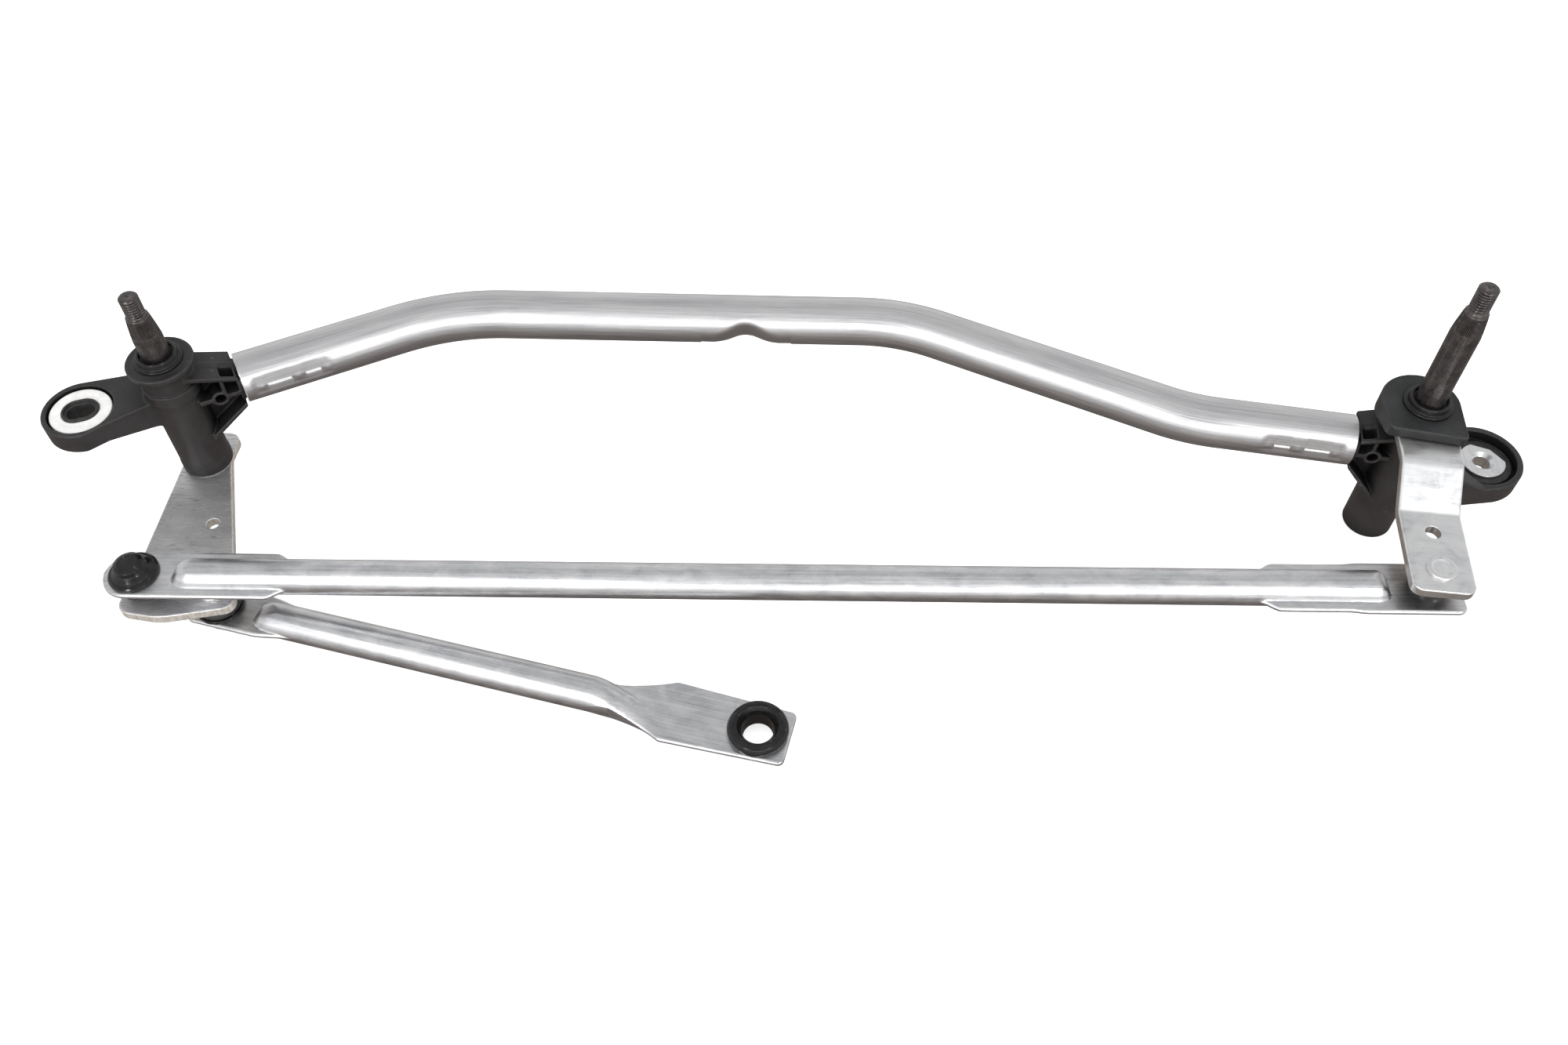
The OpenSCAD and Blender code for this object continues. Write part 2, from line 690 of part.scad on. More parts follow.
// ---- Ball sockets and boots ----
// side is +1 when the ball enters from below
module socket(side) {
    depth = 5.6;
    color(socket_black) facing(side) difference() {
        union() {
            up(-depth) cylinder(r = socket_r, h = depth + flat_half + 0.5);
            up(flat_half) {
                cylinder(r = 10.2, h = 1.6);
                up(1) cylinder(r = 8.2, h = 2.2);
                up(3.2) cylinder(r1 = 8.2, r2 = 6.2, h = 1.4);
                up(4.6) cylinder(r = 6.2, h = 2.4);
                up(7) cylinder(r1 = 6.2, r2 = 5.2, h = 0.9);
            }
        }
        sphere(r = cavity_r, $fn = 64);
        up(-8) cylinder(r = mouth_r, h = 6);
    }
}
module boot(bottom_r, top_r) {
    height = 2.6;
    color([0.06, 0.06, 0.06]) difference() {
        cylinder(r1 = bottom_r, r2 = top_r, h = height);
        up(-1) cylinder(r = 6.3, h = height + 2);
    }
}
module long_rod_left_socket() { on_long_rod() socket(1); }
module long_rod_right_socket() { on_long_rod() translate([rod_len, 0, 0]) socket(-1); }
module long_rod_left_boot() { on_long_rod() up(-8.3) boot(7.4, 8.2); }
module long_rod_right_boot() { on_long_rod() translate([rod_len, 0, 5.7]) boot(9.6, 8.6); }
module drive_rod_boot() { on_drive_rod() up(3.3) boot(9.6, 8.6); }

module drive_rod_lever_socket() {
    color(socket_black) on_drive_rod() difference() {
        union() {
            up(-7.4) cylinder(r1 = 6.4, r2 = socket_r, h = 1.2);
            up(-6.2) cylinder(r = socket_r, h = 9.4);
            up(flat_half) cylinder(r = 10.2, h = 1.6);
        }
        sphere(r = cavity_r, $fn = 64);
        up(2) cylinder(r = mouth_r, h = 6);
    }
}
// open right through, with a flared mouth on both sides
module motor_crank_socket() {
    throat_r = 5.9;
    color(socket_black) on_drive_rod() translate([drive_len, 0, 0]) difference() {
        union() {
            up(-5.4) cylinder(r = motor_socket_r, h = 10);
            up(flat_half) cylinder(r = 12.2, h = 2.6);
            up(flat_half + 2.6) cylinder(r1 = 12.2, r2 = 10.4, h = 1.6);
            up(-flat_half - 1.8) cylinder(r = 11.6, h = 1.8);
        }
        sphere(r = 6.56, $fn = 64);
        up(-8) cylinder(r = throat_r, h = 20);
        up(3.4) cylinder(r1 = throat_r, r2 = 8.6, h = 2.4);
        up(-5.8) cylinder(r1 = 7.4, r2 = throat_r, h = 1.6);
    }
}

place() crossbar_tube();
place() left_pivot_housing();
place() right_pivot_housing();
place() left_lower_bush();
place() left_upper_bush();
place() right_lower_bush();
place() right_upper_bush();
place() left_o_ring();
place() right_o_ring();
place() left_ear_washer();
place() left_ear_grommet();
place() right_ear_grommet();
place() right_ear_sleeve();
place() left_spindle_shaft();
place() left_spindle_lever();
place() left_rod_ball_stud();
place() left_drive_ball_stud();
place() left_thrust_washer();
place() left_top_washer();
place() left_retaining_ring();
place() left_splash_collar();
place() right_spindle_shaft();
place() right_spindle_lever();
place() right_rod_ball_stud();
place() right_thrust_washer();
place() right_bottom_washer();
place() right_retaining_ring();
place() right_lever_cover();
place() right_splash_collar();
place() long_connecting_rod();
place() long_rod_left_socket();
place() long_rod_right_socket();
place() long_rod_left_boot();
place() long_rod_right_boot();
place() drive_rod();
place() drive_rod_lever_socket();
place() drive_rod_boot();
place() motor_crank_socket();
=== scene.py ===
"""Windshield wiper linkage: a bent tube joins two spindle housings, and pressed rods link levers.

The left spindle stands at x = 0 and the right one at x = SPAN, both on y = 0. The front is -y and
z is up. Lengths are in mm, and heights are taken from the bottom of the right housing.
"""

import bmesh
import bpy
import json
import math
import numpy as np
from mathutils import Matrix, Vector


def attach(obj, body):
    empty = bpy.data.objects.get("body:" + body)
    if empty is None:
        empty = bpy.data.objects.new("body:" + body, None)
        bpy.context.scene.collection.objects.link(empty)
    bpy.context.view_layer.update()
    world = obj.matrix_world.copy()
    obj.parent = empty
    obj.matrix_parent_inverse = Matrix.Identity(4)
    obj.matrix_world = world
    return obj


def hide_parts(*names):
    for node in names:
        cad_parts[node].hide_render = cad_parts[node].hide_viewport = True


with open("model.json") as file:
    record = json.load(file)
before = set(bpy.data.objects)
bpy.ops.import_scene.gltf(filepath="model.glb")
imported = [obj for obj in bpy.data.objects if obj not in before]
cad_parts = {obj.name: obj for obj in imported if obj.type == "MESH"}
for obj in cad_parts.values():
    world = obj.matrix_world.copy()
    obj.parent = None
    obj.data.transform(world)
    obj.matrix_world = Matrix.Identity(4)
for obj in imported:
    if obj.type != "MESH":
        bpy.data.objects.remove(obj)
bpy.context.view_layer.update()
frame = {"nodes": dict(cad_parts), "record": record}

# ------------------------------------------------------------------ dimensions
MM = 0.001
Z_SHIFT = -114.6                    # from heights used here to the row frame
SPAN = 530.7                        # between the spindles

# levers and the balls on them
LEVER_T = 4.5
LEFT_LEVER_Z = 16.0                 # underside of the left lever
LEFT_LEVER_TOP = LEFT_LEVER_Z + LEVER_T
LEVER_HIGH, LEVER_LOW = 72.0, 58.7  # top faces of the right lever, at the spindle and at the ball
BALL_X, BALL_Y = -6.5, -72.2        # long rod ball, seen from its spindle
LEVER_ANGLE = math.atan2(BALL_Y, BALL_X)
LEVER_R = math.hypot(BALL_X, BALL_Y)
LEFT_BALL_Z, RIGHT_BALL_Z, DRIVE_BALL_Z = 29.7, 45.2, 8.2
BALL_R = 6.0
BALL_SEAT_R = 6.06

# rods
ROD_TILT = math.atan2(RIGHT_BALL_Z - LEFT_BALL_Z, SPAN)
ROD_L = math.hypot(SPAN, RIGHT_BALL_Z - LEFT_BALL_Z)
ROD_R = 7.5                         # rolled middle part
ROD_HALF_T = 1.3                    # flat ends
ROD_HOLE_R = 7.6
DRIVE_X, DRIVE_Y, DRIVE_L = 23.2, -72.4, 239.4
DRIVE_ANGLE = math.radians(-12.9)
CRANK_HOLE_R = 9.6

# tube, in a plane tilted about y
TUBE_Z, TILT = 62.0, math.radians(1.25)
TUBE_R, TUBE_INNER_R = 11.0, 9.25
SPAN_L = SPAN / math.cos(TILT)
TUBE_CORNERS = [(0, 0), (107.9, 59.1), (314.1, 65.0), (439.4, 11.0), (SPAN_L, 0)]
BEND_R = [0, 105, 85, 85, 0]
TUBE_START, TUBE_END = 26.9, 23.2   # from each spindle to the tube's rim
HEADINGS = [math.atan2(b[1] - a[1], b[0] - a[0])
            for a, b in zip(TUBE_CORNERS[:-1], TUBE_CORNERS[1:])]

# housings and their mounting ears
BARREL_R, BORE_R, BORE_RECESS_R = 10.75, 7.2, 8.3
LEFT_TOP, RIGHT_TOP = 84.8, 66.5
EAR_T = 10.0
LEFT_EAR_R, LEFT_EAR_ANGLE, LEFT_EAR_TOP = 38.6, math.radians(199.7), 67.0
RIGHT_EAR_R, RIGHT_EAR_ANGLE, RIGHT_EAR_TOP = 39.3, math.radians(9.1), 38.0
LEFT_EAR_Z, RIGHT_EAR_Z = LEFT_EAR_TOP - EAR_T, RIGHT_EAR_TOP - EAR_T
SLOT_R, SLOT_HALF = 6.4, 1.4        # slot in the left ear
SLEEVE_R = RIGHT_EAR_R + 2.2        # hole in the right ear, from the spindle

SPINDLE_R = 6.0

made = {}                           # piece name: (object, slot)


# ------------------------------------------------------------------ mesh helpers
def smooth(mesh):
    mesh.polygons.foreach_set("use_smooth", np.ones(len(mesh.polygons), bool))


def sharpen(mesh, degrees):
    mesh.set_sharp_from_angle(angle=math.radians(degrees))


def add_mesh(name, points, faces, body, slot, node, surf):
    """Adds a piece. faces is an (m, k) array or a list of mixed polygons; surf is a vector
    for each point, read by the materials."""
    mesh = bpy.data.meshes.new(name)
    points = (np.asarray(points, float) + np.array([0, 0, Z_SHIFT])) * MM
    if isinstance(faces, np.ndarray):
        count, sides = faces.shape
        mesh.vertices.add(len(points))
        mesh.vertices.foreach_set("co", points.astype(np.float32).ravel())
        mesh.loops.add(count * sides)
        mesh.loops.foreach_set("vertex_index", faces.astype(np.int32).ravel())
        mesh.polygons.add(count)
        starts = np.arange(0, count * sides, sides, dtype=np.int32)
        mesh.polygons.foreach_set("loop_start", starts)
        mesh.update(calc_edges=True)
    else:
        mesh.from_pydata(points.tolist(), [], [list(face) for face in faces])
    mesh.validate()
    smooth(mesh)
    layer = mesh.attributes.new("surf", "FLOAT_VECTOR", "POINT")
    layer.data.foreach_set("vector", np.asarray(surf, np.float32).ravel())
    mesh.update()
    obj = bpy.data.objects.new(name, mesh)
    bpy.context.scene.collection.objects.link(obj)
    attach(obj, body)
    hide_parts(node)
    made[name] = (obj, slot)
    return obj


def outward(obj):
    """Makes the faces point outwards."""
    bm = bmesh.new()
    bm.from_mesh(obj.data)
    bmesh.ops.recalc_face_normals(bm, faces=bm.faces)
    if bm.calc_volume(signed=True) < 0:
        bmesh.ops.reverse_faces(bm, faces=bm.faces)
    bm.to_mesh(obj.data)
    bm.free()
    smooth(obj.data)
    obj.data.update()


def grid_faces(rows, columns, wrap_rows=False):
    """Quads of a grid whose columns close on themselves."""
    i, j = np.meshgrid(np.arange(rows if wrap_rows else rows - 1), np.arange(columns),
                       indexing="ij")
    i_next, j_next = (i + 1) % rows, (j + 1) % columns
    corners = [i * columns + j, i_next * columns + j,
               i_next * columns + j_next, i * columns + j_next]
    return np.stack(corners, -1).reshape(-1, 4)


def into_turned(points, angle, origin=(0, 0)):
    """Points as seen from a frame at origin, turned by angle about z."""
    c, s = math.cos(angle), math.sin(angle)
    x, y = points[:, 0] - origin[0], points[:, 1] - origin[1]
    return np.stack([c * x + s * y, -s * x + c * y, points[:, 2]], -1)


def out_of_turned(points, angle, origin):
    """Local points, turned by angle about z and moved to origin."""
    points = np.asarray(points, float)
    c, s = math.cos(angle), math.sin(angle)
    x, y, z = points.T
    return np.stack([c * x - s * y + origin[0], s * x + c * y + origin[1], z + origin[2]], -1)


def moved(*offset):
    return lambda points: points + np.array(offset, float)


def arc(radius, start, end, count, x=0, y=0):
    """Unrounded (x, y, 0) corners along an arc, between angles in degrees."""
    return [(x + radius * math.cos(a), y + radius * math.sin(a), 0)
            for a in np.linspace(math.radians(start), math.radians(end), count)]


def fillet(corners, steps=5, closed=True):
    """Turns (x, y, radius) corners into a polyline with rounded corners."""
    out, count = [], len(corners)
    for i, (x, y, radius) in enumerate(corners):
        if radius < 1e-6 or (not closed and i in (0, count - 1)):
            out.append((x, y))
            continue
        corner = np.array([x, y], float)
        to_last = np.array(corners[(i - 1) % count][:2], float) - corner
        to_next = np.array(corners[(i + 1) % count][:2], float) - corner
        to_last, to_next = to_last / np.linalg.norm(to_last), to_next / np.linalg.norm(to_next)
        angle = math.acos(max(-1, min(1, float(to_last @ to_next))))
        if math.pi - angle < 1e-4:
            out.append((x, y))
            continue
        middle = (to_last + to_next) / np.linalg.norm(to_last + to_next)
        centre = corner + middle * (radius / math.sin(angle / 2))
        reach = radius / math.tan(angle / 2)
        start = corner + to_last * reach - centre
        end = corner + to_next * reach - centre
        first = math.atan2(start[1], start[0])
        sweep = math.atan2(end[1], end[0]) - first
        if sweep > math.pi:
            sweep -= 2 * math.pi
        elif sweep < -math.pi:
            sweep += 2 * math.pi
        for j in range(steps + 1):
            t = first + sweep * j / steps
            out.append((centre[0] + radius * math.cos(t), centre[1] + radius * math.sin(t)))
    return out


def lathe(name, profile, body, slot, node, segments=96, place=None, closed=True, steps=4,
          sharp=38, relief=None):
    """Turns (r, z, fillet) points about z. The profile is a closed ring, or runs from axis to
    axis. relief changes the radii; place maps local points to their place."""
    outline = np.array(fillet(profile, steps, closed), float)
    outline = outline[np.r_[True, np.hypot(*np.diff(outline, axis=0).T) > 1e-4]]
    rows = outline if closed else outline[1:-1]
    angle = np.arange(segments) * 2 * math.pi / segments
    radius = rows[:, 0][:, None] * np.ones(segments)
    height = rows[:, 1][:, None] * np.ones(segments)
    if relief is not None:
        radius = relief(radius, height, angle[None, :])
    points = np.stack([radius * np.cos(angle), radius * np.sin(angle), height], -1)
    points = points.reshape(-1, 3)
    surf = np.stack([radius, height, np.ones_like(radius) * angle], -1).reshape(-1, 3)
    faces = [tuple(face) for face in grid_faces(len(rows), segments, wrap_rows=closed)]
    if not closed:
        # one vertex on the axis at each end
        faces = [face[::-1] for face in faces]
        total = len(rows) * segments
        last = total - segments
        for i in range(segments):
            j = (i + 1) % segments
            faces += [(i, j, total), (last + j, last + i, total + 1)]
        ends = outline[0, 1], outline[-1, 1]
        points = np.concatenate([points, [[0, 0, z] for z in ends]])
        surf = np.concatenate([surf, [[0, z, 0] for z in ends]])
    if place is not None:
        points = place(points)
    obj = add_mesh(name, points, faces, body, slot, node, surf)
    outward(obj)
    sharpen(obj.data, sharp)


def window(x, start, end, rise, fall):
    """1 between start and end, 0 outside, with soft ramps inside."""
    t = np.clip((x - start) / rise, 0, 1) * np.clip((end - x) / fall, 0, 1)
    return t * t * (3 - 2 * t)


def smooth_step(x, start, end):
    t = np.clip((x - start) / (end - start), 0, 1)
    return t * t * (3 - 2 * t)


def bell(x, centre, width):
    return np.exp(-((x - centre) / width) ** 2)


# ------------------------------------------------------------------ distance-field helpers
def smin(a, b, k):
    h = np.clip(0.5 + 0.5 * (b - a) / k, 0, 1)
    return b * (1 - h) + a * h - k * h * (1 - h)


def smax(a, b, k):
    return -smin(-a, -b, k)


def both(a, b, radius):
    """Intersection of two distances with a rounded edge."""
    a, b = a + radius, b + radius
    return (np.minimum(np.maximum(a, b), 0)
            + np.hypot(np.maximum(a, 0), np.maximum(b, 0)) - radius)


def edge_distance_squared(x, y, start, end):
    ex, ey = end[0] - start[0], end[1] - start[1]
    wx, wy = x - start[0], y - start[1]
    t = np.clip((wx * ex + wy * ey) / (ex * ex + ey * ey), 0, 1)
    return (wx - ex * t) ** 2 + (wy - ey * t) ** 2


def sd_poly(x, y, corners):
    """Signed distance to a polygon, negative inside."""
    corners = np.asarray(corners, float)
    nearest = np.full(x.shape, 1e18)
    inside = np.zeros(x.shape, bool)
    for start, end in zip(corners, np.roll(corners, -1, axis=0)):
        (ax, ay), (bx, by) = start, end
        if (bx - ax) ** 2 + (by - ay) ** 2 < 1e-12:
            continue
        nearest = np.minimum(nearest, edge_distance_squared(x, y, start, end))
        if by != ay:
            crosses = (ay > y) != (by > y)
            inside ^= crosses & (x < (bx - ax) * (y - ay) / (by - ay) + ax)
    nearest = np.sqrt(nearest)
    return np.where(inside, -nearest, nearest)


def line_distance(x, y, line):
    nearest = np.full(x.shape, 1e18)
    for start, end in zip(line[:-1], line[1:]):
        nearest = np.minimum(nearest, edge_distance_squared(x, y, start, end))
    return np.sqrt(nearest)


def slab(z, low, high):
    return np.abs(z - (low + high) / 2) - (high - low) / 2


def stadium(x, y, radius, half):
    return np.hypot(np.maximum(np.abs(x) - half, 0), y) - radius


def surface_nets(values, origin, cell):
    """Quads around the negative part of a grid of values."""
    inside = values < 0
    nx, ny, nz = values.shape
    corners_inside = np.zeros((nx - 1, ny - 1, nz - 1), np.int8)
    for i, j, k in np.ndindex(2, 2, 2):
        corners_inside += inside[i:nx - 1 + i, j:ny - 1 + j, k:nz - 1 + k]
    cells = np.stack(np.nonzero((corners_inside > 0) & (corners_inside < 8)), -1)
    index = np.full(corners_inside.shape, -1, np.int64)
    index[tuple(cells.T)] = np.arange(len(cells))

    # each vertex is the mean of the crossings on its cell's edges
    total = np.zeros((len(cells), 3))
    hits = np.zeros(len(cells))
    for axis in range(3):
        others = [q for q in range(3) if q != axis]
        for a, b in np.ndindex(2, 2):
            near = np.zeros(3, int)
            near[others] = a, b
            far = near.copy()
            far[axis] = 1
            value_near = values[tuple((cells + near).T)]
            value_far = values[tuple((cells + far).T)]
            hit = (value_near < 0) != (value_far < 0)
            crossing = np.tile(near.astype(float), (len(cells), 1))
            crossing[:, axis] = np.where(
                hit, value_near / np.where(hit, value_near - value_far, 1), 0)
            total += np.where(hit[:, None], crossing, 0)
            hits += hit
    points = origin + cell * (cells + total / hits[:, None])

    faces = []
    for axis in range(3):
        second, third = (axis + 1) % 3, (axis + 2) % 3
        here, ahead = [slice(1, -1)] * 3, [slice(1, -1)] * 3
        here[axis], ahead[axis] = slice(0, values.shape[axis] - 1), slice(1, values.shape[axis])
        here, ahead = inside[tuple(here)], inside[tuple(ahead)]
        for flip in (False, True):
            edges = np.stack(np.nonzero((~here & ahead) if flip else (here & ~ahead)), -1) + 1
            edges[:, axis] -= 1
            quad = []
            for step in ((-1, -1), (0, -1), (0, 0), (-1, 0)):
                around = edges.copy()
                around[:, second] += step[0]
                around[:, third] += step[1]
                quad.append(index[tuple(around.T)])
            quad = np.stack(quad, -1)
            faces.append(quad[:, ::-1] if flip else quad)
    return points, np.concatenate(faces)


def field(name, distance, low, high, cell, body, slot, node, place=None):
    """Meshes a distance function inside a box and pulls its vertices onto the true surface."""
    low, high = np.array(low, float), np.array(high, float)
    size = np.ceil((high - low) / cell).astype(int) + 1
    axes = [low[i] + cell * np.arange(size[i]) for i in range(3)]
    values = np.full(tuple(size), 1.0, np.float32)

    # coarse blocks first, so that the fine grid is only worked out near the surface
    block, chunk = 8, 400000
    starts = [np.arange(0, size[i], block) for i in range(3)]
    centres = [low[i] + cell * (starts[i] + block / 2) for i in range(3)]
    centres = np.stack(np.meshgrid(*centres, indexing="ij"), -1)
    coarse = distance(centres.reshape(-1, 3)).reshape(centres.shape[:3])
    reach = (cell * block * 0.87 + 2.5 * cell) * 1.35

    def block_slices(at):
        return tuple(slice(int(starts[q][m]), int(min(starts[q][m] + block, size[q])))
                     for q, m in enumerate(at))

    for at in np.argwhere(coarse <= -reach):
        values[block_slices(at)] = -1.0
    near = [block_slices(at) for at in np.argwhere(np.abs(coarse) < reach)]
    grids = [np.stack(np.meshgrid(*(axes[q][part[q]] for q in range(3)), indexing="ij"), -1)
             for part in near]
    points = np.concatenate([grid.reshape(-1, 3) for grid in grids])
    fine = np.concatenate([distance(points[m:m + chunk])
                           for m in range(0, len(points), chunk)])
    done = 0
    for part, grid in zip(near, grids):
        shape = grid.shape[:3]
        count = math.prod(shape)
        values[part] = fine[done:done + count].reshape(shape)
        done += count

    points, faces = surface_nets(values.astype(float), low, cell)
    nudge = 0.01
    for _ in range(3):
        gap = distance(points)
        slope = np.stack([(distance(points + axis) - distance(points - axis)) / (2 * nudge)
                          for axis in np.eye(3) * nudge], -1)
        step = slope * (gap / np.maximum((slope ** 2).sum(-1), 0.25))[:, None]
        length = np.linalg.norm(step, axis=1)
        step *= np.minimum(1, 0.5 * cell / np.maximum(length, 1e-9))[:, None]
        points = points - step
    placed = place(points) if place else points
    add_mesh(name, placed, faces, body, slot, node, surf=points)


# ------------------------------------------------------------------ the bent tube
PRESSED_L = 43          # finely meshed length at each end
DENT_X, DENT_HALF = 243.2, 21
DENT_ANGLE = math.radians(32)       # below the front
# along the tube from its rim: start, end, rise, fall
SLITS = [(9.3, 21.0, 0.9, 0.9), (26.0, 33.8, 0.9, 0.9), (-1.0, 2.6, 0.6, 0.9)]
UNCUT = (7.4, 23.5, 36.3)           # centres of the uncut metal beside the slits


def tube_stations(step):
    """Rows of x, y, heading and length along the centreline, in the tube plane. step(s, total)
    gives the spacing."""
    def direction(heading):
        return np.array([math.cos(heading), math.sin(heading)])

    def normal(heading):
        return np.array([-math.sin(heading), math.cos(heading)])

    cut = [TUBE_START]
    for i in (1, 2, 3):
        cut.append(BEND_R[i] * math.tan(abs(HEADINGS[i] - HEADINGS[i - 1]) / 2))
    cut.append(TUBE_END)
    parts = []          # start, heading, length, signed bend radius (0 for a straight)
    for i, heading in enumerate(HEADINGS):
        start, end = (np.array(corner, float) for corner in TUBE_CORNERS[i:i + 2])
        length = math.hypot(*(end - start))
        parts.append((start + cut[i] * direction(heading), heading,
                      length - cut[i] - cut[i + 1], 0))
        if i < 3:
            turn = HEADINGS[i + 1] - heading
            radius = BEND_R[i + 1]
            parts.append((end - cut[i + 1] * direction(heading), heading,
                          radius * abs(turn), math.copysign(radius, turn)))
    total = sum(part[2] for part in parts)
    lengths, s = [0.0], 0.0
    while s < total:
        s = min(total, s + step(s, total))
        lengths.append(s)
    stations = []
    for s in lengths:
        rest = s
        for part in parts:
            start, heading, length, radius = part
            if rest <= length + 1e-9 or part is parts[-1]:
                break
            rest -= length
        if radius == 0:
            point = start + rest * direction(heading)
        else:
            centre = start + radius * normal(heading)
            heading += rest / radius
            point = centre - radius * normal(heading)
        stations.append((point[0], point[1], heading, s))
    return np.array(stations)


def press_end(across, z, from_end, thickness):
    """Presses the front flat near one end and cuts the slits along it. The front is where
    across is negative."""
    pressed = window(from_end, 2.6, 40.0, 3.0, 4.2) * (across < 0)
    z = np.clip(z, -9, 9)
    above = -(8.75 + 1.45 * np.clip((6.9 - z) / 6.4, 0, 1.2))
    below = -(9.75 + 0.42 * np.clip((0.4 - z) / 5.0, 0, 1.4))
    slit = np.clip(sum(window(from_end, *ends) for ends in SLITS), 0, 1)
    hard, soft = smooth_step(z, 0.15, 0.75), smooth_step(z, -3.0, 3.0)
    flat = ((above * hard + below * (1 - hard)) * slit
            + (above * soft + below * (1 - soft) - 0.12) * (1 - slit)) + thickness
    across = np.where(pressed > 0, across * (1 - pressed)
                      + pressed * -smin(-across, -flat, 0.55), across)
    # a sharp lip over each slit, and a recess under the lip
    across = across - pressed * slit * 0.26 * bell(z, 0.85, 0.24)
    across = across + pressed * slit * 0.42 * bell(z, 0.30, 0.20)
    # a bulge where the metal is whole
    for centre in UNCUT:
        across = across - pressed * 0.24 * bell(from_end, centre, 1.5) * bell(z, 0.2, 1.4)
    return across


def dent(across, z, along, radius):
    """Smooth dent in the tube's middle, facing the front and downwards."""
    c, s = math.cos(DENT_ANGLE), math.sin(DENT_ANGLE)
    facing, sideways = -across * c - z * s, across * s - z * c
    depth = np.exp(-(np.abs(along) / 9.6) ** 2.3)
    limit = radius - 4.3 * depth + 0.35 * bell(np.abs(along), 15.0, 3.0)
    pressed = smin(facing, limit - 0.02 * sideways * sideways * depth, 2.2)
    facing = np.where(depth > 0.003, pressed, facing)
    return -facing * c + sideways * s, -facing * s - sideways * c


def crossbar():
    rough = tube_stations(lambda s, total: 0.5)
    dent_s = rough[np.argmin(np.abs(rough[:, 0] - DENT_X)), 3]

    def step(s, total):
        if min(s, total - s) < PRESSED_L:
            return 0.34
        return 0.45 if abs(s - dent_s) < DENT_HALF else 1.6

    stations = tube_stations(step)
    s = stations[:, 3]
    total = s[-1]
    segments = 256
    turn = np.arange(segments) / segments
    # the points bunch towards the front and back; 180 degrees is the front
    phi = 2 * math.pi * turn
    phi = phi + 0.16 * np.sin(2 * phi)
    phi = phi + 0.18 * np.sin(phi)

    def wall(radius, rows):
        x, y, heading, along = (column[:, None] for column in stations[rows].T)
        across = radius * np.cos(phi)[None, :] * np.ones_like(along)
        z = radius * np.sin(phi)[None, :] * np.ones_like(along)
        for from_end in (along, total - along):
            across = press_end(across, z, from_end, TUBE_R - radius)
        across, z = dent(across, z, along - dent_s, radius)
        points = np.stack([x - across * np.sin(heading), y + across * np.cos(heading), z], -1)
        zero = 0 * across
        surf = np.stack([along + zero, turn * 69.0 + zero, TUBE_R - radius + zero], -1)
        return points, surf

    rows = np.arange(len(s))
    # the inner wall runs back, with fewer rows where it is plain
    kept = (np.minimum(s, total - s) < PRESSED_L) | (np.abs(s - dent_s) < DENT_HALF)
    inner_rows = rows[kept | (rows % 4 == 0)][::-1]
    outer, outer_surf = wall(TUBE_R, rows)
    inner, inner_surf = wall(TUBE_INNER_R, inner_rows)
    # chamfered rims at both ends
    for end, facing in ((0, -1), (-1, 0)):
        outer[end] = outer[end] * 0.86 + inner[facing] * 0.14
    x, y, z = np.concatenate([outer, inner]).reshape(-1, 3).T
    surf = np.concatenate([outer_surf, inner_surf]).reshape(-1, 3)
    faces = grid_faces(len(rows) + len(inner_rows), segments, wrap_rows=True)
    cos_tilt, sin_tilt = math.cos(TILT), math.sin(TILT)
    points = np.stack([x * cos_tilt + z * sin_tilt, y,
                       -x * sin_tilt + z * cos_tilt + TUBE_Z], -1)
    obj = add_mesh("crossbar_drawn_tube", points, faces, "frame", "drawn_aluminium",
                   "crossbar_tube", surf)
    outward(obj)
    sharpen(obj.data, 50)


# ------------------------------------------------------------------ pressed rods
def place_long(points):
    """From the long rod's frame, with its left ball at the origin."""
    c, s = math.cos(ROD_TILT), math.sin(ROD_TILT)
    x, y, z = points.T
    return np.stack([x * c - z * s + BALL_X, y + BALL_Y, x * s + z * c + LEFT_BALL_Z], -1)


def place_drive(points):
    """From the drive rod's frame, with its lever ball at the origin."""
    return out_of_turned(points, DRIVE_ANGLE, (DRIVE_X, DRIVE_Y, DRIVE_BALL_Z))


def drill(ends, radius, segments=64):
    start, end = (Vector((point + np.array([0, 0, Z_SHIFT])) * MM) for point in ends)
    along = (end - start).normalized()
    side = along.orthogonal().normalized()
    other = along.cross(side)
    points = [list(p + (side * math.cos(t) + other * math.sin(t)) * radius * MM)
              for p in (start, end) for t in np.arange(segments) * 2 * math.pi / segments]
    faces = [(i, (i + 1) % segments, segments + (i + 1) % segments, segments + i)
             for i in range(segments)]
    faces += [tuple(range(segments))[::-1], tuple(range(segments, 2 * segments))]
    mesh = bpy.data.meshes.new("drill")
    mesh.from_pydata(points, [], faces)
    obj = bpy.data.objects.new("drill", mesh)
    bpy.context.scene.collection.objects.link(obj)
    return obj


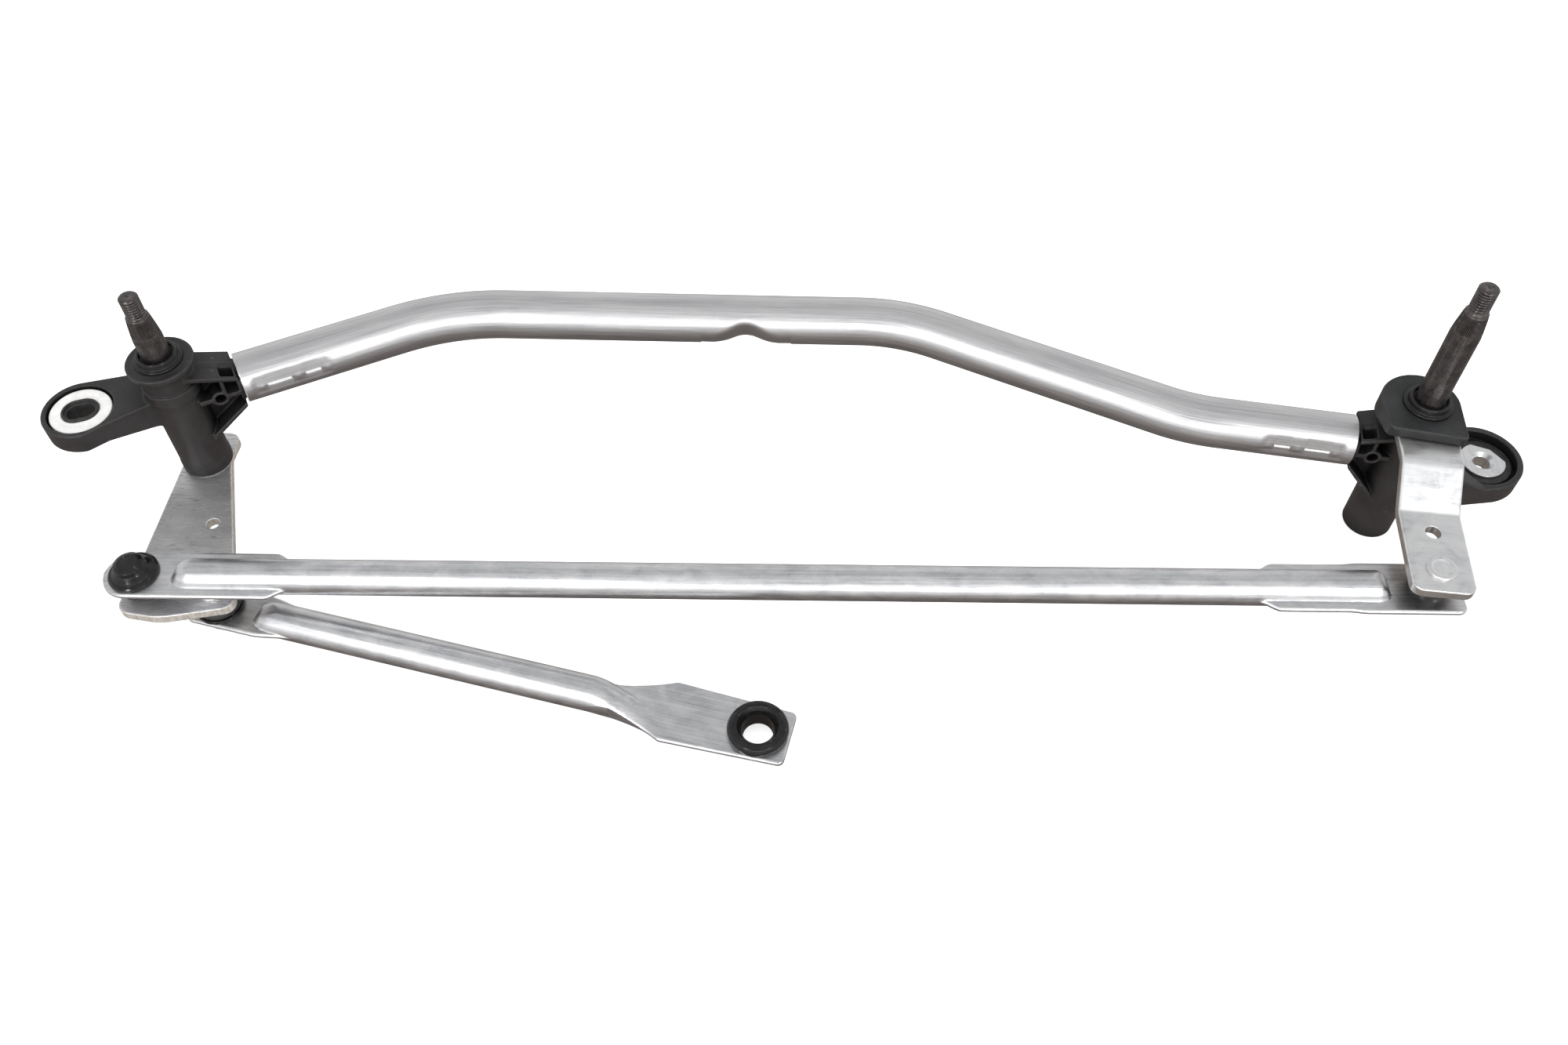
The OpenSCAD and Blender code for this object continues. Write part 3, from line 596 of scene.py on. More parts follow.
def pressed_rod(name, body, node, half_width, half_thickness, bulge, xs, place, holes):
    """A flat plate joined to a rolled bulge, symmetric in z, with (x, radius) holes."""
    segments = 168
    t = np.arange(segments) * 2 * math.pi / segments
    sine = np.sin(t)[None, :]
    steep = np.abs(sine)
    width, thickness = half_width(xs)[:, None], half_thickness(xs)[:, None]
    x = xs[:, None]
    y = width * np.cos(t)[None, :]
    rounding = np.minimum(ROD_HALF_T, width)
    q = np.clip((np.abs(y) - (width - rounding)) / np.maximum(rounding, 1e-6), 0, 1)
    plate = thickness * np.sqrt(np.maximum(1 - q * q, 0))
    rolled = bulge(x, y)
    z = smax(plate, rolled, 0.9)
    # at the side edges the soft join fades out, so that the halves meet
    edge = np.clip(1 - steep / 0.12, 0, 1)
    z = np.where(steep < 0.12, np.maximum(plate, rolled) * edge + z * (1 - edge), z)
    z = np.where(steep < 1e-6, 0, z) * np.sign(sine)
    points = np.stack([x + 0 * y, y, z], -1).reshape(-1, 3)
    faces = [tuple(face) for face in grid_faces(len(xs), segments)]
    last = (len(xs) - 1) * segments
    faces += [tuple(range(segments))[::-1], tuple(range(last, last + segments))]
    obj = add_mesh(name, place(points), faces, body, "zinc_plated_steel", node, points)
    outward(obj)
    for hole_x, hole_r in holes:
        cutter = drill(place(np.array([[hole_x, 0, -20.0], [hole_x, 0, 20.0]])), hole_r)
        cut = obj.modifiers.new("hole", "BOOLEAN")
        cut.operation, cut.object, cut.solver = "DIFFERENCE", cutter, "EXACT"
        bpy.context.view_layer.update()
        evaluated = obj.evaluated_get(bpy.context.evaluated_depsgraph_get())
        mesh = bpy.data.meshes.new_from_object(evaluated)
        obj.modifiers.clear()
        obj.data = mesh
        bpy.data.objects.remove(cutter)
    smooth(obj.data)
    sharpen(obj.data, 42)


def rolled_tube(x, y, x0, x1, corner, ramp):
    """Height of a rolled tube whose ends close between x0 and x1 over a ramp, with rounded
    plan corners."""
    dy = ROD_R - np.abs(y)
    dx = np.minimum(x - x0, x1 - x) * (ROD_R / ramp)
    rounded = corner - np.hypot(np.maximum(corner - dx, 0), np.maximum(corner - dy, 0))
    d = np.where((dx < corner) & (dy < corner), rounded, np.minimum(dx, dy))
    d = np.clip(d, 0, ROD_R)
    return np.sqrt(np.maximum(ROD_R * ROD_R - (ROD_R - d) ** 2, 0)) * (d > 0)


def corner_trim(x, end, radius):
    """What a rounded plan corner takes off the width near the end."""
    k = np.clip(x - (end - radius), 0, radius)
    return radius - np.sqrt(np.maximum(radius * radius - k * k, 0))


def past_edge(x, end):
    """How far x lies in the last 0.7 mm before the end."""
    return np.clip(x - (end - 0.7), 0, 0.7)


def edge_thinning(past):
    return np.sqrt(np.maximum(1 - (past / 0.72) ** 2, 0.02))


def quarter_cos(count):
    return np.cos(np.linspace(0, math.pi / 2, count))


def long_rod():
    flat, end, end_corner = 11.6, ROD_L + 12.4, 3.5

    def half_width(x):
        nose = np.sqrt(np.maximum(flat ** 2 - (x + 1.4) ** 2, 0))
        width = np.where(x < -1.4, nose, flat)
        width = width - (flat - ROD_R) * smooth_step(x, 57.5, 66.5)
        width = width + (flat - ROD_R) * smooth_step(x, ROD_L - 69, ROD_L - 60)
        width = width + 0.7 * smooth_step(x, ROD_L - 34, ROD_L - 26)
        return np.maximum(width - corner_trim(x, end, end_corner), 0.02)

    def half_thickness(x):
        plates = 1 - smooth_step(x, 64, 72) + smooth_step(x, ROD_L - 73, ROD_L - 65)
        return ROD_HALF_T * plates * edge_thinning(past_edge(x, end))

    def bulge(x, y):
        return np.minimum(rolled_tube(x, y, 16.6, ROD_L + 60, corner=5.5, ramp=12.0),
                          rolled_tube(x, y, -60, ROD_L - 16.4, corner=4.5, ramp=9.0))

    xs = np.concatenate([
        -13 + 1.4 * (1 - quarter_cos(14)),
        np.arange(-11.2, 32, 0.55),
        np.arange(32, 56, 1.6),
        np.arange(56, 75, 0.6),
        np.arange(75, ROD_L - 75, 7.0),
        np.arange(ROD_L - 75, ROD_L - 56, 0.6),
        np.arange(ROD_L - 56, ROD_L - 36, 1.2),
        np.arange(ROD_L - 36, end - 3.6, 0.55),
        end - end_corner * quarter_cos(16)])
    pressed_rod("long_pressed_rod", "long_rod", "long_connecting_rod", half_width,
                half_thickness, bulge, np.unique(np.round(xs, 5)), place_long,
                [(0.0, ROD_HOLE_R), (ROD_L, ROD_HOLE_R)])


def drive_rod():
    start, end = 12.4, DRIVE_L + 13.4
    start_corner, end_corner = 4.5, 2.5
    narrow, wide = 10.3, 14.1

    def half_width(x):
        width = narrow - (narrow - ROD_R) * smooth_step(x, 18, 38)
        width = width - 0.7 * bell(x, DRIVE_L - 63, 6.0)
        width = width + (wide - ROD_R) * np.clip((x - (DRIVE_L - 61)) / 23.0, 0, 1) ** 1.7
        width = width - 1.8 * np.clip((x - (DRIVE_L - 37)) / 50.0, 0, 1)
        width = width - corner_trim(x, end, end_corner)
        return np.maximum(width - corner_trim(-x, start, start_corner), 0.02)

    def half_thickness(x):
        plates = 1 - smooth_step(x, 30, 48) + smooth_step(x, DRIVE_L - 62, DRIVE_L - 48)
        past = past_edge(x, end) + past_edge(-x, start)
        return ROD_HALF_T * plates * edge_thinning(past)

    def bulge(x, y):
        left = rolled_tube(x, y, 17.0, DRIVE_L + 60, corner=5.5, ramp=13.0)
        # towards the crank end the tube sinks to a ridge along the plate's front edge
        sink = smooth_step(x, DRIVE_L - 72, DRIVE_L - 36)
        height = ROD_R * (1 - sink) + 1.0 * sink
        off_ridge = (y + 6.6 * sink) / (ROD_R - 1.9 * sink)
        right = height * np.sqrt(np.maximum(1 - off_ridge ** 2, 0)) ** (1 + 0.25 * sink)
        swap = smooth_step(x, DRIVE_L - 74, DRIVE_L - 70)
        return left * (1 - swap) + right * swap

    xs = np.concatenate([
        -start + start_corner * (1 - quarter_cos(16)),
        np.arange(-7.5, 50, 0.6),
        np.arange(50, DRIVE_L - 78, 7.0),
        np.arange(DRIVE_L - 78, end - 2.6, 0.6),
        end - end_corner * quarter_cos(14)])
    pressed_rod("drive_pressed_rod", "drive_rod_body", "drive_rod", half_width,
                half_thickness, bulge, np.unique(np.round(xs, 5)), place_drive,
                [(0.0, ROD_HOLE_R), (DRIVE_L, CRANK_HOLE_R)])


# ------------------------------------------------------------------ housings
def to_tube_plane(points):
    c, s = math.cos(TILT), math.sin(TILT)
    x, z = points[:, 0], points[:, 2] - TUBE_Z
    return np.stack([x * c - z * s, points[:, 1], x * s + z * c], -1)


def web(points, x1, up, down):
    """Ribs from the barrel out to the tube's rim at x1; up and down are their reach in z at
    the barrel. The front is -y."""
    x0, half = 7.75, 9.3
    x, y, z = points.T

    def rib(outline, half_width, edge=0.4):
        return both(sd_poly(x, z, outline), np.abs(y) - half_width, edge)

    d = rib([(x0, -down + 1), (x1, -8), (x1, 8), (x0, up - 1)], 1.5, edge=0.3)
    roof = rib([(x0 - 2, up - 2.4), (x1 - 1, 6.7), (x1 - 1, 8.6), (x0 - 2, up)], half)
    # the front half of the roof is open next to the tube, behind a side rib
    opening = both(slab(x, x1 - 7.2, x1 - 1.9), np.abs(y + 3.4) - 4.1, 0.5)
    roof = smax(roof, -opening, 0.4)
    side_rib = rib([(x1 - 8.6, -1), (x1 - 7.0, -1), (x1 - 7.0, 9), (x1 - 8.6, 9)], 8.6, edge=0.3)
    d = smin(d, smin(roof, side_rib, 0.4), 0.8)
    floor_rib = [(x0, -down), (x1 - 1, -8.8), (x1 - 1, -6.6), (x0, -down + 2.7)]
    d = smin(d, rib(floor_rib, half), 0.8)
    d = smin(d, rib([(x0, -1.1), (x1 - 1, -1.1), (x1 - 1, 1.1), (x0, 1.1)], 9.2), 0.8)
    # a cross boss with a hole, and a disc that meets the tube
    r = np.hypot(x - (x0 + (x1 - x0) * 0.46), z)
    d = smin(d, both(r - 3.7, np.abs(y) - half, 0.4), 0.8)
    d = smin(d, both(np.hypot(y, z) - 9.0, slab(x, x1 - 2.0, x1 + 4), 0.4), 0.6)
    return np.maximum(d, -(r - 2.3))


def left_housing():
    plan = fillet([(0, -10.25, 0), (9, -14.6, 6)]
                  + arc(16.3, -90, 90, 25, x=LEFT_EAR_R - 0.3)
                  + [(29, 12.6, 6), (12, 6.8, 6), (0, 6.5, 0)], 6)
    side = [(-6, LEFT_EAR_Z - 3.5), (12, LEFT_EAR_Z - 3.5), (30, LEFT_EAR_Z), (70, LEFT_EAR_Z),
            (70, LEFT_EAR_TOP), (-6, LEFT_EAR_TOP)]

    def distance(points):
        x, y, z = points.T
        r = np.hypot(x, y)
        # barrel with a foot ring, a ring over the ear and a top flange
        d = both(r - BARREL_R, slab(z, 21.5, LEFT_TOP), 0.5)
        d = smin(d, both(r - 11.0, slab(z, 21.5, 26.8), 0.3), 0.2)
        ring = slab(z, LEFT_EAR_TOP - 0.5, LEFT_EAR_TOP + 5.5)
        d = smin(d, both(r - 11.6, ring, 0.5), 0.4)
        d = smin(d, both(r - 14.0, slab(z, LEFT_TOP - 2.5, LEFT_TOP), 0.55), 0.8)
        along_tube = into_turned(to_tube_plane(points), HEADINGS[0])
        d = smin(d, web(along_tube, TUBE_START, 16.5, 22.5), 1.3)
        # mounting ear with a round pocket and a slot
        ear_x, ear_y, ear_z = into_turned(points, LEFT_EAR_ANGLE).T
        ear = both(sd_poly(ear_x, ear_y, plan), sd_poly(ear_x, ear_z, side), 0.8)
        d = smin(d, ear, 2.0)
        from_slot = ear_x - LEFT_EAR_R
        pocket = both(np.hypot(from_slot, ear_y) - 13.8,
                      slab(ear_z, LEFT_EAR_TOP - 3, LEFT_EAR_TOP + 8), 0.15)
        d = smax(d, -pocket, 0.5)
        d = np.maximum(d, -stadium(from_slot, ear_y, SLOT_R, SLOT_HALF))
        recess = both(r - BORE_RECESS_R, slab(z, LEFT_TOP - 2.4, LEFT_TOP + 5), 0.1)
        return np.maximum(np.maximum(d, -recess), -(r - BORE_R))

    field("left_moulded_housing", distance, (-60, -33, 20), (36, 26, 86.5), 0.5,
          "frame", "housing_nylon", "left_pivot_housing")


def right_housing():
    plan = fillet([(0, -9.75, 0), (10, -16.5, 5), (22, -18.2, 0)]
                  + arc(18.4, -90, 90, 31, x=RIGHT_EAR_R)
                  + [(22, 18.2, 0), (10, 14.5, 5), (0, 9.75, 0)], 6)
    top = RIGHT_EAR_TOP
    side = fillet([(-6, RIGHT_EAR_Z, 0), (70, RIGHT_EAR_Z, 0), (70, top, 0), (33, top, 4),
                   (24, top + 5, 6), (8, top + 12, 4), (-6, top + 12, 0)], 6)

    def distance(points):
        x, y, z = points[:, 0] - SPAN, points[:, 1], points[:, 2]
        r = np.hypot(x, y)
        d = both(r - BARREL_R, slab(z, 0, RIGHT_TOP), 0.8)
        # looking back along the tube, mirrored so that -y is still the front
        along_tube = into_turned(to_tube_plane(points), HEADINGS[3] + math.pi, (SPAN_L, 0))
        along_tube[:, 1] *= -1
        d = smin(d, web(along_tube, TUBE_END, 14.2, 25.4), 1.3)
        # mounting ear with a flat top and a round hole
        ear_x, ear_y, ear_z = into_turned(points, RIGHT_EAR_ANGLE, (SPAN, 0)).T
        ear = both(sd_poly(ear_x, ear_y, plan), sd_poly(ear_x, ear_z, side), 0.8)
        d = smin(d, ear, 1.6)
        pocket = both(np.hypot(ear_x - RIGHT_EAR_R, ear_y) - 15.7,
                      slab(ear_z, top - 5, top + 30), 0.15)
        d = smax(d, -pocket, 0.5)
        d = np.maximum(d, -(np.hypot(ear_x - SLEEVE_R, ear_y) - 8.0))
        d = np.maximum(d, -both(r - 9.0, slab(z, -3, 5), 0.1))
        recess = both(r - BORE_RECESS_R, slab(z, RIGHT_TOP - 2.3, RIGHT_TOP + 5), 0.1)
        return np.maximum(np.maximum(d, -recess), -(r - BORE_R))

    field("right_moulded_housing", distance, (SPAN - 33, -25, -1.5), (SPAN + 60, 27, 68.5), 0.5,
          "frame", "housing_nylon", "right_pivot_housing")


def left_ear_parts():
    def local(points):
        x, y, z = into_turned(points, LEFT_EAR_ANGLE).T
        return x - LEFT_EAR_R, y, z

    def washer(points):
        x, y, z = local(points)
        top = LEFT_EAR_TOP - 1.2
        ring = np.maximum(np.hypot(x, y) - 12.9, -stadium(x, y, 6.45, SLOT_HALF))
        d = both(ring, slab(z, LEFT_EAR_TOP - 3, top), 0.35)
        groove = np.abs(stadium(x, y, 8.1, SLOT_HALF)) - 0.25
        return smax(d, -both(groove, slab(z, top - 0.12, top + 1), 0.05), 0.1)

    def lip(points):
        x, y, z = local(points)
        ring = np.maximum(stadium(x, y, SLOT_R, SLOT_HALF), -stadium(x, y, 4.1, 1.7))
        d = both(ring, slab(z, LEFT_EAR_Z, LEFT_EAR_TOP - 0.3), 0.5)
        # the top steps down towards the slot
        step = slab(z, LEFT_EAR_TOP - 1.5, LEFT_EAR_TOP + 2)
        return smax(d, -both(stadium(x, y, 5.0, 1.7), step, 0.3), 0.3)

    x, y = LEFT_EAR_R * math.cos(LEFT_EAR_ANGLE), LEFT_EAR_R * math.sin(LEFT_EAR_ANGLE)
    high = (x + 17, y + 16, LEFT_EAR_TOP + 1)
    field("left_slot_washer", washer, (x - 17, y - 16, LEFT_EAR_TOP - 4), high, 0.32,
          "frame", "white_plastic", "left_ear_washer")
    field("left_slot_lip", lip, (x - 17, y - 16, LEFT_EAR_TOP - 11), high, 0.3,
          "frame", "seal_rubber", "left_ear_grommet")


def right_ear_parts():
    base = RIGHT_EAR_Z

    def sleeve(points):
        x, y, z = into_turned(points, RIGHT_EAR_ANGLE, (SPAN, 0)).T
        x = x - SLEEVE_R
        r = np.hypot(x, y)
        d = both(r - 9.8, slab(z, base + 6.4, base + 7.7), 0.4)
        # two flats on the flange
        for facing in (math.radians(60), math.radians(25)):
            d = smax(d, math.cos(facing) * x + math.sin(facing) * y - 7.6, 0.3)
        d = smin(d, both(r - 5.2, slab(z, base, base + 7.6), 0.3), 0.2)
        hole = both(r - 3.5, slab(z, base - 5, base + 15), 0.1)
        countersink = (r - 3.5 - np.maximum(z - (base + 5.9), 0)) * 0.7
        return smax(d, -np.minimum(hole, countersink), 0.3)

    x = SPAN + SLEEVE_R * math.cos(RIGHT_EAR_ANGLE)
    y = SLEEVE_R * math.sin(RIGHT_EAR_ANGLE)
    field("right_ear_flanged_sleeve", sleeve, (x - 11, y - 11, base - 1),
          (x + 11, y + 11, base + 8.6), 0.28, "frame", "bright_zinc", "right_ear_sleeve")
    lathe("right_ear_rubber", [(5.2, 0, .3), (8, 0, .3), (8, 5, .4), (12.8, 5, .5),
                               (12.8, 6.4, .6), (5.2, 6.4, .3)],
          "frame", "seal_rubber", "right_ear_grommet", place=moved(x, y, base))


# ------------------------------------------------------------------ levers and ball studs
def left_lever():
    plan = fillet([(-10.6, 17, 8), (-12.4, -55, 0), (-15, -84.5, 6), (4, -87.2, 30),
                   (34.8, -80.5, 5), (9.3, 3, 6), (10.2, 17.2, 5)], 10)

    def distance(points):
        x, y, z = points.T
        d = both(sd_poly(x, y, plan), slab(z, LEFT_LEVER_Z, LEFT_LEVER_TOP), 0.55)
        return smax(d, -(np.hypot(x - 12.5, y + 36.6) - 2.8), 0.35)

    field("left_lever_plate", distance, (-17, -89, 14.8), (37, 19, 21.8), 0.42,
          "left_spindle", "zinc_plated_steel", "left_spindle_lever")


def right_lever():
    """A cranked lever, built along x and then turned."""
    bend_start, bend_end = 27.0, 44.5
    slope = math.atan2(LEVER_HIGH - LEVER_LOW, bend_end - bend_start)
    shift = LEVER_T * math.tan(slope / 2) / 2
    high, low = LEVER_HIGH - LEVER_T / 2, LEVER_LOW - LEVER_T / 2
    middle = fillet([(-30, high, 0), (bend_start - shift, high, 5.5),
                     (bend_end - shift, low, 5.0), (110, low, 0)], 9, closed=False)
    half, end = 24.5 / 2, LEVER_R + 11.2
    outline = fillet([(-half, 0, 0)] + arc(half, 189, 270, 14)
                     + [(end, -half, 4.5), (end, half, 4.5)] + arc(half, 90, 171, 14), 8)

    def distance(points):
        x, y, z = points.T
        d = both(sd_poly(x, y, outline), line_distance(x, z, middle) - LEVER_T / 2, 0.75)
        d = smax(d, -(np.hypot(x - 53.8, y) - 3.1), 0.4)
        return np.maximum(d, -(np.hypot(x, y) - SPINDLE_R))

    field("right_lever_plate", distance, (-14, -14, 52.6), (end + 2, 14, 73.6), 0.42,
          "right_spindle", "bright_zinc", "right_spindle_lever",
          place=lambda points: out_of_turned(points, LEVER_ANGLE, (SPAN, 0, 0)))


def stud_up(face, ball_z):
    """Stud profile with its ball above the lever's top face."""
    back = face - LEVER_T
    return ([(0, back - 1.2, 0), (2.2, back - 1.2, .3), (3.2, back - .9, .3),
             (5.9, back - 1.3, .5), (5.9, back, .1), (4, back + .02, .1), (4, face - .02, .1),
             (5.8, face, .2), (5.8, face + 1.6, .4), (3.5, face + 1.6, .3),
             (3.5, ball_z - 4.87, .2)]
            + arc(BALL_R, -50, 85, 22, y=ball_z) + [(0, ball_z + BALL_R, 0)])


def stud_down(face, ball_z):
    """Stud profile with its ball below the lever's underside."""
    back = face + LEVER_T
    return ([(0, ball_z - BALL_R, 0)] + arc(BALL_R, -85, 50, 22, y=ball_z)
            + [(3.5, ball_z + 4.87, .2), (3.5, face - 1.6, .3), (5.8, face - 1.6, .4),
               (5.8, face, .2), (4, face + .02, .1), (4, back - .02, .1), (5.9, back, .1),
               (5.9, back + 1.25, .55), (4.2, back + 1.3, .4), (3.4, back + .75, .4),
               (1.6, back + .9, .5), (0, back + .95, 0)])


def studs():
    for name, body, x, y, profile in (
            ("left_rod_ball", "left_spindle", BALL_X, BALL_Y,
             stud_up(LEFT_LEVER_TOP, LEFT_BALL_Z)),
            ("left_drive_ball", "left_spindle", DRIVE_X, DRIVE_Y,
             stud_down(LEFT_LEVER_Z, DRIVE_BALL_Z)),
            ("right_rod_ball", "right_spindle", SPAN + BALL_X, BALL_Y,
             stud_down(LEVER_LOW - LEVER_T, RIGHT_BALL_Z))):
        lathe(name, profile, body, "bright_zinc", name + "_stud", segments=72, closed=False,
              place=moved(x, y, 0), sharp=50)


# ------------------------------------------------------------------ spindles, collars, cover
TAPER_L, THREAD_R, THREAD_PITCH = 12, 4.0, 1.25


def shaft(name, x, top, thread_l, foot):
    """A spindle: foot profile, plain shaft, knurled taper and threaded tip."""
    thread_z = top - thread_l
    taper_z = thread_z - TAPER_L

    def relief(radius, z, angle):
        knurl = window(z, thread_z - 10.2, thread_z - 1.4, 1.2, 0.6)
        ridge = np.abs(((angle * 44 / (2 * math.pi)) % 1.0) - 0.5) * 2
        radius = radius + knurl * (-0.26 + 0.34 * ridge)
        threaded = window(z, thread_z + 0.7, top - 0.9, 0.5, 0.6)
        phase = (z / THREAD_PITCH - angle / (2 * math.pi)) % 1.0
        crest = np.clip((1 - np.abs(phase - 0.5) * 2) * 1.15, 0, 1)
        return radius - threaded * 0.74 * (1 - crest)

    profile = foot + [(SPINDLE_R, taper_z - 0.2, .6)]
    profile += [(SPINDLE_R - (SPINDLE_R - 4.6) * (z - taper_z) / TAPER_L, z, 0)
                for z in np.linspace(taper_z, thread_z - 0.6, 46)]
    profile += [(4.25, thread_z - 0.35, 0), (3.55, thread_z + .1, 0), (3.5, thread_z + .6, 0)]
    profile += [(THREAD_R, z, 0) for z in np.arange(thread_z + 0.8, top - 0.9, 0.105)]
    profile += [(THREAD_R, top - 0.85, 0), (3.75, top - 0.5, 0), (3.3, top - .08, 0),
                (3.15, top, 0), (0.9, top - .02, 0), (0.6, top - .35, 0), (0, top - .45, 0)]
    lathe(name, profile, name, "dark_spindle_steel", name + "_shaft", segments=264,
          closed=False, place=moved(x, 0, 0), sharp=60, relief=relief)


def collar(side, x, z):
    profile = [(5.95, z + 1.0, 0.1), (8.4, z + .2, .2), (8.4, z, .1), (10.0, z, .25),
               (10.0, z + 1.3, .6), (8.9, z + 1.35, .3), (8.7, z + 1.9, .3),
               (8.35, z + 3.4, .3), (8.1, z + 4.0, .5), (7.0, z + 4.0, .45),
               (6.75, z + 3.1, .3), (6.7, z + 2.5, .4), (6.15, z + 2.6, .2),
               (5.95, z + 2.2, .1)]
    lathe(side + "_shaft_collar", profile, side + "_spindle", "gloss_black_plastic",
          side + "_splash_collar", segments=128, place=moved(x, 0, 0))


def spindles():
    low, high = LEFT_LEVER_Z, LEFT_LEVER_TOP
    shaft("left_spindle", 0, 120.0, 10.0,
          [(0, 14.2, 0), (1.5, 14.2, 0), (1.8, 14.6, .2), (5.4, 14.3, .6), (6.6, 15.0, .5),
           (6.6, low - .02, .2), (5, low, .1), (5, high, .1), (SPINDLE_R, high + .02, .1),
           (SPINDLE_R, LEFT_TOP, 0)])
    shaft("right_spindle", SPAN, 141.0, 12.0,
          [(0, 1.0, 0), (5.3, 1.0, .3), (SPINDLE_R, 1.7, .3), (SPINDLE_R, 60, 0),
           (SPINDLE_R, 100, 0)])
    collar("left", 0, LEFT_TOP + .06)
    collar("right", SPAN, 77.0)


def cover():
    """Cap over the right lever, open below."""
    def outline(inset):
        return fillet(arc(16.2 - inset, 0, 180, 33, x=-2.2, y=1)
                      + [(-18.4 + inset, -13.8 + inset, max(2.6 - inset, .6)),
                         (12.2 - inset, -19.6 + inset, max(1.8 - inset, .5))], 6)

    outer, inner = outline(0), outline(1.22)
    # y, z of the opening under the front of the skirt
    opening = [(-45, 60), (6, 60), (6, 66.7), (4, 67.2), (-15, 72.35), (-45, 72.35)]

    def distance(points):
        x, y, z = points[:, 0] - SPAN, points[:, 1], points[:, 2]
        to_outer, to_inner = sd_poly(x, y, outer), sd_poly(x, y, inner)
        d = both(to_outer, slab(z, 67.2, 77.0), 0.7)
        d = smax(d, -both(to_inner, slab(z, 55, 75.0), 0.2), 0.3)
        # a faint raised rim around the top face
        rim = both(np.abs(to_outer + 0.75) - 0.42, slab(z, 76.0, 77.16), 0.16)
        d = smin(d, rim, 0.15)
        d = np.maximum(d, -(np.hypot(x, y) - SPINDLE_R))
        # the skirt rises towards the front, over the lever
        return smax(d, -both(sd_poly(y, z, opening), slab(x, -40, 40), 0.3), 0.3)

    field("right_lever_cap", distance, (SPAN - 22, -26, 66), (SPAN + 17, 20, 78.6), 0.42,
          "right_spindle", "cover_plastic", "right_lever_cover")


# ------------------------------------------------------------------ sockets
def bell_boot(z):
    return [(6.3, z, .2), (9.6, z, .4), (9.2, z + .9, .4), (9.5, z + 1.5, .4),
            (8.6, z + 2.6, .4), (6.3, z + 2.6, .2)]


def sockets():
    face = ROD_HALF_T
    gloss, rubber = "gloss_black_plastic", "seal_rubber"
    rod_socket = [(0, face + 8.0, 0), (4.2, face + 7.9, .8), (6.15, face + 7.0, .7),
                  (6.3, face + 4.6, .3), (6.7, face + 4.1, .6), (8.2, face + 3.0, .5),
                  (8.5, face + 2.1, .3), (9.4, face + 2.0, .4), (10.4, face + 1.2, .5),
                  (10.2, face + .02, .2), (ROD_HOLE_R, face, .05), (ROD_HOLE_R, -5.6, .4),
                  (4.9, -5.6, .3), (4.9, -3.5, .2)]
    rod_socket += arc(BALL_SEAT_R, -24, 88, 22) + [(0, BALL_SEAT_R, 0)]
    lathe("left_socket", rod_socket, "long_rod", gloss, "long_rod_left_socket",
          place=place_long, closed=False)
    # the right socket hangs upside down
    lathe("right_socket", rod_socket, "long_rod", gloss, "long_rod_right_socket", closed=False,
          place=lambda p: place_long(p * np.array([1, 1, -1]) + np.array([ROD_L, 0, 0])))
    lathe("left_socket_boot", [(6.3, -8.3, .2), (7.2, -8.3, .4), (8.2, -7.2, .5),
                               (7.6, -6.5, .3), (8.2, -5.75, .3), (6.3, -5.7, .2)],
          "long_rod", rubber, "long_rod_left_boot", place=place_long)
    lathe("right_socket_boot", bell_boot(5.7), "long_rod", rubber, "long_rod_right_boot",
          place=lambda p: place_long(p + np.array([ROD_L, 0, 0])))

    drive_socket = [(0, -7.4, 0), (5.9, -7.4, .8), (ROD_HOLE_R, -6.0, .8),
                    (ROD_HOLE_R, face - .02, .05), (10.2, face, .2), (10.2, face + 1.5, .5),
                    (7.8, face + 1.7, .2), (7.4, 3.2, .3), (5.2, 3.2, .2)]
    drive_socket += arc(BALL_SEAT_R, 31, -88, 22) + [(0, -BALL_SEAT_R, 0)]
    lathe("drive_socket", drive_socket, "drive_rod_body", gloss, "drive_rod_lever_socket",
          place=place_drive, closed=False)
    lathe("drive_socket_boot", bell_boot(3.3), "drive_rod_body", rubber, "drive_rod_boot",
          place=place_drive)
    crank_ring = [(7.4, -5.4, .4), (9.4, -5.4, .5), (CRANK_HOLE_R, -3.1, .1), (11.4, -3.1, .4),
                  (11.6, -1.32, .2), (CRANK_HOLE_R, -1.3, .05), (CRANK_HOLE_R, face, .05),
                  (12.2, face + .02, .3), (12.5, face + 2.6, 1.2), (11.5, face + 4.3, 1.3),
                  (9.8, face + 5.0, .9), (8.6, face + 4.9, .6), (7.5, face + 3.2, .9),
                  (6.6, face + 1.6, .8), (6.6, 0, 2.5), (6.1, -3.4, .8)]
    lathe("motor_crank_ring", crank_ring, "drive_rod_body", gloss, "motor_crank_socket",
          segments=128, steps=5, place=lambda p: place_drive(p + np.array([DRIVE_L, 0, 0])))


crossbar()
long_rod()
drive_rod()
left_housing()
right_housing()
left_ear_parts()
right_ear_parts()
left_lever()
right_lever()
studs()
spindles()
cover()
sockets()


